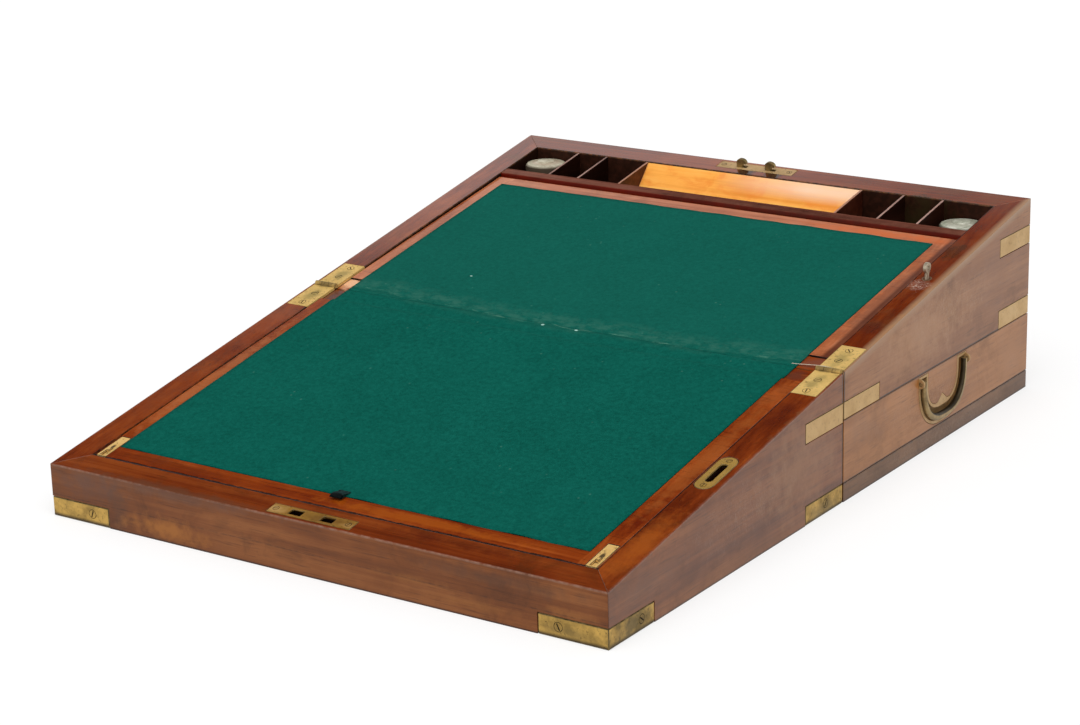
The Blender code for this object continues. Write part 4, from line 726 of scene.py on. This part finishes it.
# Painted shade in the slot of each catch
CATCH_SLOT_SHADE = (
    blot((179.2, 231, 38), (1.7, 3.2, 9), (0.03, 0.018, 0.006), 0.9, 0.5, True),
)
# Painted shade on the front of the tab's loop, where it folds under
TAB_SHADE = (
    blot((-3, -234.5, 41), (9, 3.2, 6), (0.001, 0.002, 0.002), 0.95, 0.5),
)
BAIZE_MARKS = tuple(blot((x, y, 80), (1.4, 1.1, 60), (0.34, 0.56, 0.49), 0.9, 0.4)
                    for x, y in ((-103.3, 44.1), (-14.1, -1.9), (11.4, -1.8)))

MATERIALS = {
    "lid left": wood("lid_left_wood", "Y", SIDE, RIM, shift=0.9, hollow_shade=DIM_SHADE[1], marks=LID_LEFT_MARKS),
    "lid right": wood("lid_right_wood", "Y", SIDE, RIM, shift=0.3, hollow_shade=DIM_SHADE[1], marks=LID_RIGHT_MARKS),
    "lid hinge": wood("lid_hinge_wood", "X", SIDE, BORDER, shift=0.6, marks=LID_HINGE_MARKS),
    "lid front": wood("lid_front_wood", "X", FRONT, FRONT_RIM, shine=0.3, shift=1.1, hollow_shade=DIM_SHADE[0],
                      marks=FRONT_MARKS),
    "lid board": wood("lid_board_wood", "X", FRONT, DIM_SHADE, top_rough=0.5, top_shine=0.15, shift=1.9),
    "base left": wood("base_left_wood", "Y", FADED, RIM, top_shine=0.60, shift=2.9, hollow_shade=DIM_SHADE[1],
                      marks=BASE_LEFT_MARKS),
    "base right": wood("base_right_wood", "Y", FADED, PIN_RIM, top_shine=0.42, shift=2.3, hollow_shade=KHAKI_SHEEN,
                       marks=BASE_RIGHT_MARKS),
    "base hinge": wood("base_hinge_wood", "X", SIDE, BORDER, shift=2.6, marks=BASE_HINGE_MARKS),
    "base back": wood("base_back_wood", "X", FADED, RIM, top_shine=0.62, shift=3.1, hollow_shade=WARM_SHADE,
                      marks=BACK_MARKS),
    "drawer front": wood("drawer_front_wood", "Y", DRAWER, shift=3.7, marks=DRAWER_MARKS),
    "lid flap": wood("lid_flap_wood", "X", DIM_SHADE, BORDER, BORDER_INSIDE, stain=0.25, shift=4.4,
                     marks=FLAP_MARKS),
    "base flap": wood("base_flap_wood", "X", DIM_SHADE, SALMON, BORDER_INSIDE, top_shine=0.24, stain=0.25,
                      shift=4.9, marks=BASE_FLAP_MARKS),
    "divider": wood("divider_wood", "Y", DIM_SHADE, PALE_EDGE, top_rough=0.4, shine=0.1, stain=0.2, shift=5.2),
    "deck": wood("deck_wood", "X", DIM_SHADE, rough=0.5, top_rough=0.5, shine=0.1, shift=5.5),
    "rail": wood("rail_wood", "X", RAIL_FACE, RAIL_TOP, shine=0.1, top_shine=0.4, stain=0.3, shift=5.9,
                 marks=RAIL_MARKS),
    "plinth": wood("bottom_board_wood", "Y", PLINTH, rough=0.36, shift=6.3, marks=PLINTH_MARKS),
    "tray": tray_wood("pen_tray_wood", TRAY, TRAY_END_SHADE),
    "pine": wood("drawer_wood", "X", PINE, rough=0.6, top_rough=0.6, shift=7.7),
    "strap": brass("strap_brass", (0.56, 0.36, 0.15), (0.46, 0.29, 0.12), dull=0.6, metal=0.5, spots=0.3),
    "bracket": brass("bracket_brass", (0.57, 0.35, 0.080), (0.20, 0.126, 0.030), dull=0.75, metal=0.6,
                     marks=LOW_SHADE_AND_TARNISH),
    "leaf": brass("leaf_brass", (0.72, 0.475, 0.150), (0.46, 0.30, 0.085), metal=0.2, shine=0.15,
                  marks=LEAF_MARKS),
    "catch": brass("catch_brass", (0.76, 0.49, 0.17), (0.50, 0.28, 0.06), metal=0.2, shine=0.15,
                   marks=CATCH_SLOT_SHADE),
    "strike": brass("strike_brass", (0.27, 0.135, 0.020), (0.15, 0.07, 0.010), metal=0.1, shine=0.05,
                    marks=STRIKE_MARKS),
    "lock": brass("lock_brass", (0.52, 0.33, 0.14), (0.28, 0.18, 0.07), metal=0.2, marks=(sunk_shade,)),
    "pin plate": brass("pin_plate_brass", (0.35, 0.205, 0.040), (0.20, 0.115, 0.024), metal=0.1, shine=0.1,
                       marks=(sunk_shade,)),
    "handle plate": brass("handle_plate_brass", (0.48, 0.30, 0.13), (0.36, 0.22, 0.09), metal=0.4, spots=0.4),
    "bail": brass("bail_brass", (0.36, 0.25, 0.11), (0.15, 0.105, 0.045), rough=0.36, dull=0.8, metal=0.7,
                  marks=(inner_side_shade,)),
    "hook": brass("hook_brass", (0.36, 0.25, 0.09), (0.12, 0.085, 0.035), rough=0.34, dull=0.7, metal=0.7),
    "pin": brass("pin_brass", (0.52, 0.44, 0.32), (0.24, 0.18, 0.11), rough=0.3, metal=0.6),
    "bush": brass("bush_brass_and_shade", (0.16, 0.085, 0.035), (0.06, 0.030, 0.012), rough=0.5, metal=0.4),
    "cap left": cap_plating("cap_left_plating", CAP_LEFT, (0.62, 0.57, 0.42), (0.40, 0.35, 0.24),
                            (0.46, 0.33, 0.22)),
    "cap right": cap_plating("cap_right_plating", CAP_RIGHT, (0.66, 0.65, 0.54), (0.30, 0.32, 0.22),
                             (0.40, 0.38, 0.29)),
    "glass": ink_glass("inkwell_glass"),
    "baize": felt("green_baize", BAIZE, (0.010, 0.105, 0.078), BAIZE_MARKS),
    "tab": mottled("tab_cloth", *TAB, fine=700, marks=TAB_SHADE),
    # Painted shade for screw slots and the rings round screw heads
    "gap": mottled("screw_slot_shade", BLACK, (0.03, 0.02, 0.012)),
    "thread": mottled("baize_thread", (0.42, 0.36, 0.27), (0.74, 0.68, 0.56), fine=1500),
    # Dirt and painted shade on the bevelled edges of flat brass
    "brass edge": mottled("brass_edge_dirt_and_shade", (0.055, 0.036, 0.014), (0.24, 0.17, 0.07), rough=0.5, fine=260),
}


def pair(name):
    """Names of the left and right twins of a node."""
    return name + "_left", name + "_right"


# The nodes that wear each material. All others wear strap brass
LOOKS = {
    "lid left": ("lid_left_wall",),
    "lid right": ("lid_right_wall",),
    "lid hinge": ("lid_hinge_wall",),
    "lid front": ("lid_front_wall",),
    "lid board": ("lid_board",),
    "base left": ("base_left_wall",),
    "base right": ("base_right_wall",),
    "base hinge": ("base_hinge_wall",),
    "base back": ("base_back_wall",),
    "drawer front": ("drawer_front",),
    "lid flap": ("lid_flap",),
    "base flap": ("base_flap",),
    "divider": pair("divider_ink") + pair("divider_slot"),
    "deck": ("base_deck",),
    "rail": ("pen_rail",),
    "plinth": ("base_bottom_board",),
    "tray": ("pen_tray",),
    "pine": ("drawer_side_near", "drawer_side_far", "drawer_back", "drawer_bottom"),
    "bracket": pair("lid_bracket_front") + pair("lid_bracket_hinge"),
    "leaf": pair("base_hinge_leaf") + pair("lid_hinge_leaf"),
    "catch": pair("catch_plate") + pair("catch_bolt"),
    "strike": ("strike_plate",),
    "lock": ("lock_case",),
    "pin plate": ("pin_escutcheon",),
    "handle plate": ("drawer_handle_plate", "left_handle_plate"),
    "bail": ("drawer_handle_bail", "left_handle_bail"),
    "hook": ("lock_hooks",),
    "pin": ("drawer_pin",),
    "cap left": ("inkwell_cap_left",),
    "cap right": ("inkwell_cap_right",),
    "glass": pair("inkwell"),
}

# Edge radii in millimetres, and the angles that count as an edge
DIRTY_SHADED_EDGE = {"strap": 0.3, "bracket": 0.6, "leaf": 0.3, "catch": 0.3, "strike": 0.25, "lock": 0.25,
              "pin plate": 0.3, "handle plate": 0.45}
CLEAN_EDGE = 0.14
EDGE_LIMIT = math.radians(40)
SEAM_LIMIT = math.radians(0.5)
WELD_REACH = 0.01 * MM
ROUND_LOOKS = ("bail", "hook", "pin", "cap left", "cap right", "glass", "rail")
ROUND_LIMIT = math.radians(35)
FLAT_LIMIT = math.radians(2)


def smoothing(limit):
    """Node group that shades a mesh smooth except over edges sharper than the limit."""
    group = bpy.data.node_groups.new("smooth_by_angle", "GeometryNodeTree")
    for way in ("INPUT", "OUTPUT"):
        group.interface.new_socket("Geometry", in_out=way, socket_type="NodeSocketGeometry")
    n = Nodes(group)
    kinds = ("NodeGroupInput", "GeometryNodeRemoveAttribute", "GeometryNodeSetShadeSmooth",
             "GeometryNodeSetShadeSmooth", "NodeGroupOutput")
    chain = [n.add(kind) for kind in kinds]
    for first, second in zip(chain, chain[1:]):
        n.feed(second.inputs[0], first.outputs[0])
    n.fill(chain[1], Name="custom_normal")
    edges = chain[3]
    edges.domain = "EDGE"
    angle = n.add("GeometryNodeInputMeshEdgeAngle").outputs["Unsigned Angle"]
    n.fill(edges, Shade_Smooth=False, Selection=n.calc("GREATER_THAN", angle, limit))
    return group


def round_edges(node, radius, slot):
    """Soften a solid's sharp edges without touching its mesh."""
    weld = node.modifiers.new("weld", "WELD")
    weld.merge_threshold = WELD_REACH
    flat = node.modifiers.new("flat", "DECIMATE")
    flat.decimate_type = "DISSOLVE"
    flat.angle_limit = SEAM_LIMIT
    bevel = node.modifiers.new("bevel", "BEVEL")
    bevel.width = radius
    bevel.segments = 1
    bevel.limit_method = "ANGLE"
    bevel.angle_limit = EDGE_LIMIT
    bevel.material = slot


def dress_nodes():
    """Give every solid its material and its soft edges. Flat brass gets dark edges of dirt and painted shade,
    as in the gap round an inlaid plate.
    """
    chosen = {name: look for look, names in LOOKS.items() for name in names}
    flat, rounded = smoothing(FLAT_LIMIT), smoothing(ROUND_LIMIT)
    for name, node in nodes.items():
        look = chosen.get(name, "strap")
        node.data.materials.clear()
        node.data.materials.append(MATERIALS[look])
        if look in DIRTY_SHADED_EDGE:
            node.data.materials.append(MATERIALS["brass edge"])
            round_edges(node, DIRTY_SHADED_EDGE[look] * MM, 1)
        elif look != "glass":
            round_edges(node, CLEAN_EDGE * MM, -1)
        node.modifiers.new("smooth", "NODES").node_group = rounded if look in ROUND_LOOKS else flat


def add_object(name, data):
    """Put a mesh, lamp or camera into the scene."""
    made = bpy.data.objects.new(name, data)
    bpy.context.collection.objects.link(made)
    return made


def add_piece(name, shape, looks):
    """Turn a bmesh into a piece of the dressed part."""
    mesh = bpy.data.meshes.new(name)
    shape.to_mesh(mesh)
    shape.free()
    for look in looks:
        mesh.materials.append(MATERIALS[look])
    return add_object(name, mesh)


# Cloth

CLOTH_LEFT = -174.5 * MM
CLOTH_RIGHT = 170 * MM
CLOTH_FRONT = -229 * MM
CLOTH_THICK = 0.7 * MM
CLOTH_STEP = 4 * MM
CLOTH_OVER_WALL = 1.0 * MM
LID_FLAP_EDGE = -17.6 * MM
BASE_FLAP_EDGE = 16.5 * MM
BASE_CLOTH_SINK = 0.7 * MM
WALL_LAP = 3 * MM
FOLD = 0.06 * MM
FOLD_LAP = 2 * MM
FOLD_SINK = 0.1 * MM
BEND_STEP = 1 * MM
WALL_STEP = 2 * MM
FRAY = 0.9 * MM
RIPPLE = 0.10 * MM
RIPPLES_PER_METRE = 60
FRAYS_PER_METRE = 45


def sheet_mesh(name, profile, left, right, look, fray):
    """Sheet that follows a profile of y and z across the width. Its first edge wanders by the fray."""
    columns = round((right - left) / CLOTH_STEP)
    shape = bmesh.new()
    rows = []
    for number, (y, z) in enumerate(profile):
        row = []
        for i in range(columns + 1):
            x = left + (right - left) * i / columns
            lift = noise.noise(Vector((x * RIPPLES_PER_METRE, y * RIPPLES_PER_METRE, 3))) * RIPPLE
            slip = noise.noise(Vector((x * FRAYS_PER_METRE, 7, 1))) * fray if number == 0 else 0.0
            row.append(shape.verts.new((x, y + slip, z + slip * SLOPE + lift)))
        rows.append(row)
    for row, following in zip(rows, rows[1:]):
        for i in range(columns):
            shape.faces.new((row[i], row[i + 1], following[i + 1], following[i]))
    bmesh.ops.recalc_face_normals(shape, faces=shape.faces)
    piece = add_piece(name, shape, [look])
    rest = piece.data.attributes.new(REST_PLACE, "FLOAT_VECTOR", "POINT")
    rest.data.foreach_set("vector", [number for vertex in piece.data.vertices for number in vertex.co])
    if piece.data.polygons[0].normal.z < 0:
        piece.data.flip_normals()
    piece.data.shade_smooth()
    thick = piece.modifiers.new("thickness", "SOLIDIFY")
    thick.thickness = CLOTH_THICK
    thick.offset = -1
    return piece


def walk(start, end, step=CLOTH_STEP):
    """Even points from one profile point to another, without the last."""
    count = max(1, round(math.dist(start, end) / step))
    return [(start[0] + (end[0] - start[0]) * i / count, start[1] + (end[1] - start[1]) * i / count)
            for i in range(count)]


def to_fold(edge, sink):
    """Profile from a flap's hinged edge over the hinge wall to the fold."""
    side = math.copysign(1, edge)
    start = (edge, rim(edge, sink))
    lapped = edge - side * WALL_LAP
    on_wall = (lapped, rim(lapped, CLOTH_OVER_WALL))
    folding = side * (FOLD + FOLD_LAP)
    near_fold = (folding, rim(folding, CLOTH_OVER_WALL))
    end = (side * FOLD, rim(side * FOLD, CLOTH_OVER_WALL + FOLD_SINK))
    profile = walk(start, on_wall, BEND_STEP) + walk(on_wall, near_fold, WALL_STEP)
    return profile + walk(near_fold, end, BEND_STEP) + [end]


def lay_cloth(name, profile, replaced):
    """One half's baize, which bends where it crosses from its flap to the hinge wall."""
    piece = sheet_mesh(name, profile, CLOTH_LEFT, CLOTH_RIGHT, "baize", FRAY)
    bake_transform(piece)
    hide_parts(replaced)


def add_baize():
    """One cloth per half, from the flap's far edge to the fold."""
    start = (CLOTH_FRONT, rim(CLOTH_FRONT))
    lid_profile = walk(start, (LID_FLAP_EDGE, rim(LID_FLAP_EDGE))) + to_fold(LID_FLAP_EDGE, 0)
    lay_cloth("lid_cloth", lid_profile, "lid_baize")
    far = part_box("base_baize")[1]
    base_profile = walk((far.y, far.z), (BASE_FLAP_EDGE, rim(BASE_FLAP_EDGE, BASE_CLOTH_SINK)))
    base_profile += to_fold(BASE_FLAP_EDGE, BASE_CLOTH_SINK)
    lay_cloth("base_cloth", base_profile, "base_baize")


TAB_LEFT = -6.5 * MM
TAB_RIGHT = 1.5 * MM
TAB_THICK = 0.5 * MM
TAB_LOOP = ((-225, 0.75), (-227, 1.0), (-229, 1.8), (-231, 2.5), (-233, 2.7), (-234.6, 2.3), (-235, 1.6),
            (-234.2, 1.0), (-232.5, 0.7), (-230, 0.6))


def add_tab():
    """Folded loop of cloth under the baize's front edge, to lift the lid flap by."""
    profile = [(y * MM, rim(y * MM) + lift * MM) for y, lift in TAB_LOOP]
    tab = sheet_mesh("pull_tab", profile, TAB_LEFT, TAB_RIGHT, "tab", 0.0)
    tab.modifiers["thickness"].thickness = TAB_THICK
    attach(tab, "lid_flap")


# Small hardware

SCREW_SIDES = 20
SEAT_RING = 0.35 * MM
SEAT_RISE = 0.02 * MM
HEAD_RISE = 0.06 * MM
BRACKET_SCREW = 2.6 * MM
LEAF_SCREW = 2.2 * MM
LOCK_SCREW = 1.7 * MM
PIN_PLATE_SCREW = 1.6 * MM
BRACKET_SCREW_X = 170.4
BRACKET_SCREW_Z = 6.8
LEAF_SCREW_X = 192.4
LOCK_SCREWS_X = (-30.5, 22.5)


def ring_of(shape, frame_of, radius, height):
    """Circle of points in the plane of a frame."""
    return [shape.verts.new(frame_of @ Vector((radius * math.cos(t), radius * math.sin(t), height)))
            for t in (2 * math.pi * i / SCREW_SIDES for i in range(SCREW_SIDES))]


def skin(shape, outer, inner, material):
    """Band of faces between two circles."""
    for i in range(SCREW_SIDES):
        j = (i + 1) % SCREW_SIDES
        shape.faces.new((outer[i], outer[j], inner[j], inner[i])).material_index = material


def screw(shape, place, facing, radius, turn):
    """Flush slotted head: a low dome in a dark ring, with a dark slot. The ring and slot are painted shade.
    """
    frame_of = Matrix.Translation(place) @ Vector(facing).to_track_quat("Z", "Y").to_matrix().to_4x4()
    frame_of = frame_of @ Matrix.Rotation(turn, 4, "Z")
    steps = ((radius + SEAT_RING, SEAT_RISE), (radius, SEAT_RISE), (radius * 0.8, HEAD_RISE),
             (radius * 0.3, HEAD_RISE * 1.3))
    rings = [ring_of(shape, frame_of, wide, high) for wide, high in steps]
    for number, (outer, inner) in enumerate(zip(rings, rings[1:])):
        skin(shape, outer, inner, 1 if number == 0 else 0)
    shape.faces.new(rings[-1])
    reach, half = radius * 0.85, radius * 0.16
    slot = [shape.verts.new(frame_of @ Vector((x, y, HEAD_RISE * 1.5)))
            for x, y in ((-reach, -half), (reach, -half), (reach, half), (-reach, half))]
    shape.faces.new(slot).material_index = 1


def add_screws(name, body, look, spots, radius):
    """All the screws of one body in one mesh. A spot is a place in millimetres, a facing and a slot angle."""
    shape = bmesh.new()
    for place, facing, turn in spots:
        screw(shape, Vector(place) * MM, facing, radius, math.radians(turn))
    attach(add_piece(name, shape, [look, "gap"]), body)


def on_rim(x, y, turn):
    """Spot on the rim plane."""
    return (x, y, rim(y * MM) / MM), (0, -math.sin(TILT), math.cos(TILT)), turn


def bracket_spots():
    """At each end of the lid, one screw in the front and two in the side."""
    spots = []
    end, front = WIDTH / 2 / MM, -HALF_DEPTH / MM
    for side, front_turn, side_turn in ((-1, 70, 20), (1, 115, 140)):
        spots.append(((side * BRACKET_SCREW_X, front, BRACKET_SCREW_Z), (0, -1, 0), front_turn))
        for y, turn in ((-229, side_turn), (-22, 60)):
            spots.append(((side * end, y, BRACKET_SCREW_Z), (side, 0, 0), turn))
    return spots


def leaf_spots(*rows):
    """Screws of one half's two hinge leaves. A row is a depth and a slot angle."""
    return [on_rim(side * LEAF_SCREW_X, y, turn) for side in (-1, 1) for y, turn in rows]


def lock_spots(y, turns):
    """Two screws at the ends of the lock's plate or of its strike plate."""
    return [on_rim(x, y, turn) for x, turn in zip(LOCK_SCREWS_X, turns)]


def add_hardware():
    """The screws, a piece for each set, on the body that carries them."""
    add_screws("bracket_screws", "lid", "bracket", bracket_spots(), BRACKET_SCREW)
    add_screws("lid_leaf_screws", "lid", "leaf", leaf_spots((-13, 30), (-27, 100)), LEAF_SCREW)
    add_screws("base_leaf_screws", "base", "leaf", leaf_spots((13, 60), (26.5, 130)), LEAF_SCREW)
    add_screws("strike_screws", "lid", "strike", lock_spots(-LOCK_Y / MM, (20, 75)), LOCK_SCREW)
    add_screws("lock_screws", "base", "lock", lock_spots(LOCK_Y / MM, (50, 110)), LOCK_SCREW)
    plate = [on_rim(PIN_X / MM, y, turn) for y, turn in ((-116.5, 35), (-145.5, 80))]
    add_screws("pin_plate_screws", "lid", "pin plate", plate, PIN_PLATE_SCREW)


BUSH_RINGS = ((3.4, 0.01), (3.2, 0.06), (2.4, 0.07), (2.2, 0.01))


def add_bush():
    """Worn brass ring in the rim round the drawer pin, kept dark as painted shade at the pin's foot."""
    shape = bmesh.new()
    frame_of = Matrix.Translation((PIN_X, PIN_Y, rim(PIN_Y))) @ Matrix.Rotation(TILT, 4, "X")
    rings = [ring_of(shape, frame_of, radius * MM, height * MM) for radius, height in BUSH_RINGS]
    for outer, inner in zip(rings, rings[1:]):
        skin(shape, outer, inner, 0)
    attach(add_piece("pin_bush", shape, ["bush"]), "base")


THREAD = ((166, 2.6, -0.85), (170, 3.2, -0.95), (176, 3.9, -0.7), (182, 3.6, -0.05), (188, 3.9, 0.08),
          (193, 3.3, 0.08), (197, 3.0, 0.06))
THREAD_WIDE = 0.45 * MM
THREAD_HIGH = 0.12 * MM


def add_thread():
    """Frayed end of the cloth's raw edge, stuck across the right hinge."""
    shape = bmesh.new()
    rows = []
    for x, y, lift in THREAD:
        middle = Vector((x * MM, y * MM, rim(y * MM) + lift * MM))
        wide = THREAD_WIDE * (1 + 0.5 * noise.noise(Vector((x, y, 2))))
        corners = ((-wide, 0), (-wide / 2, THREAD_HIGH), (wide / 2, THREAD_HIGH), (wide, 0))
        rows.append([shape.verts.new(middle + Vector((0, across, up))) for across, up in corners])
    for row, following in zip(rows, rows[1:]):
        for i in range(4):
            j = (i + 1) % 4
            shape.faces.new((row[i], following[i], following[j], row[j]))
    shape.faces.new(rows[0])
    shape.faces.new(rows[-1][::-1])
    bmesh.ops.recalc_face_normals(shape, faces=shape.faces)
    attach(add_piece("loose_thread", shape, ["thread"]), "base")


# Stage

def light_paths(n):
    """Socket that is 1 for rays from the camera, from gloss and through glass."""
    path = n.add("ShaderNodeLightPath").outputs
    seen = n.calc("MAXIMUM", path["Is Camera Ray"], path["Is Glossy Ray"])
    return n.calc("MAXIMUM", seen, path["Is Transmission Ray"])


def add_world():
    """White backdrop under a dark ceiling for gloss, and an even light for the rest."""
    world = bpy.data.worlds.new("studio")
    bpy.context.scene.world = world
    world.use_nodes = True
    n = Nodes(world.node_tree)
    toward = n.add("ShaderNodeTexCoord").outputs["Generated"]
    height = n.vector("DOT_PRODUCT", toward, CEILING_LEAN)
    seen = n.add("ShaderNodeMapRange", interpolation_type="SMOOTHSTEP")
    n.fill(seen, Value=height, From_Min=BACKDROP_TOP, From_Max=CEILING_FOOT, To_Min=BACKDROP, To_Max=CEILING)
    level = n.wire("ShaderNodeMix", "Result", Factor=light_paths(n), A=AMBIENT, B=seen.outputs["Result"])
    n.fill(n.tree.nodes["Background"], Strength=level, Color=(1, 1, 1, 1))


def add_floor():
    """Pale floor that shows white and keeps the shadow."""
    shape = bmesh.new()
    bmesh.ops.create_grid(shape, x_segments=2, y_segments=2, size=FLOOR_REACH)
    floor = add_piece("floor", shape, [])
    floor.location.z = -FLOOR_DROP
    material = bpy.data.materials.new("floor_white")
    material.use_nodes = True
    n = Nodes(material.node_tree)
    n.tree.nodes.clear()
    shown = light_paths(n)
    both = n.add("ShaderNodeAddShader")
    pale = n.span(shown, 0, 1, FLOOR_PALE, FLOOR_SHOWN)
    n.feed(both.inputs[0], n.wire("ShaderNodeBsdfDiffuse", "BSDF", Color=pale))
    n.feed(both.inputs[1], n.wire("ShaderNodeEmission", "Emission", Strength=n.times(shown, FLOOR_LIFT)))
    n.fill(n.add("ShaderNodeOutputMaterial"), Surface=both.outputs["Shader"])
    floor.data.materials.append(material)


def add_sun(name, toward, spread, power):
    """Wide even light, like a large softbox far away."""
    lamp = bpy.data.lights.new(name, "SUN")
    lamp.angle = spread
    lamp.energy = power
    made = add_object(name, lamp)
    made.rotation_euler = Vector(toward).to_track_quat("-Z", "Y").to_euler()


def add_camera():
    """Camera at the photograph's view."""
    level = math.cos(CAMERA_RISE)
    side, ahead = math.sin(CAMERA_HEADING), math.cos(CAMERA_HEADING)
    back = Vector((side * level, -ahead * level, math.sin(CAMERA_RISE)))
    right = Vector((ahead, side, 0))
    up = back.cross(right)
    turned_right = right * math.cos(CAMERA_ROLL) + up * math.sin(CAMERA_ROLL)
    turned_up = up * math.cos(CAMERA_ROLL) - right * math.sin(CAMERA_ROLL)
    camera = bpy.data.cameras.new("camera")
    camera.sensor_width = CAMERA_SENSOR
    camera.lens = CAMERA_LENS
    made = add_object("camera", camera)
    turn = Matrix((turned_right, turned_up, back)).transposed().to_4x4()
    made.matrix_world = Matrix.Translation(CAMERA_PLACE) @ turn
    bpy.context.scene.camera = made


dress_nodes()
add_baize()
add_tab()
add_hardware()
add_bush()
add_thread()
add_world()
add_floor()
add_sun("softbox", SOFTBOX_TOWARD, SOFTBOX_SPREAD, SOFTBOX_POWER)
add_camera()
bpy.context.scene.view_settings.view_transform = "Standard"
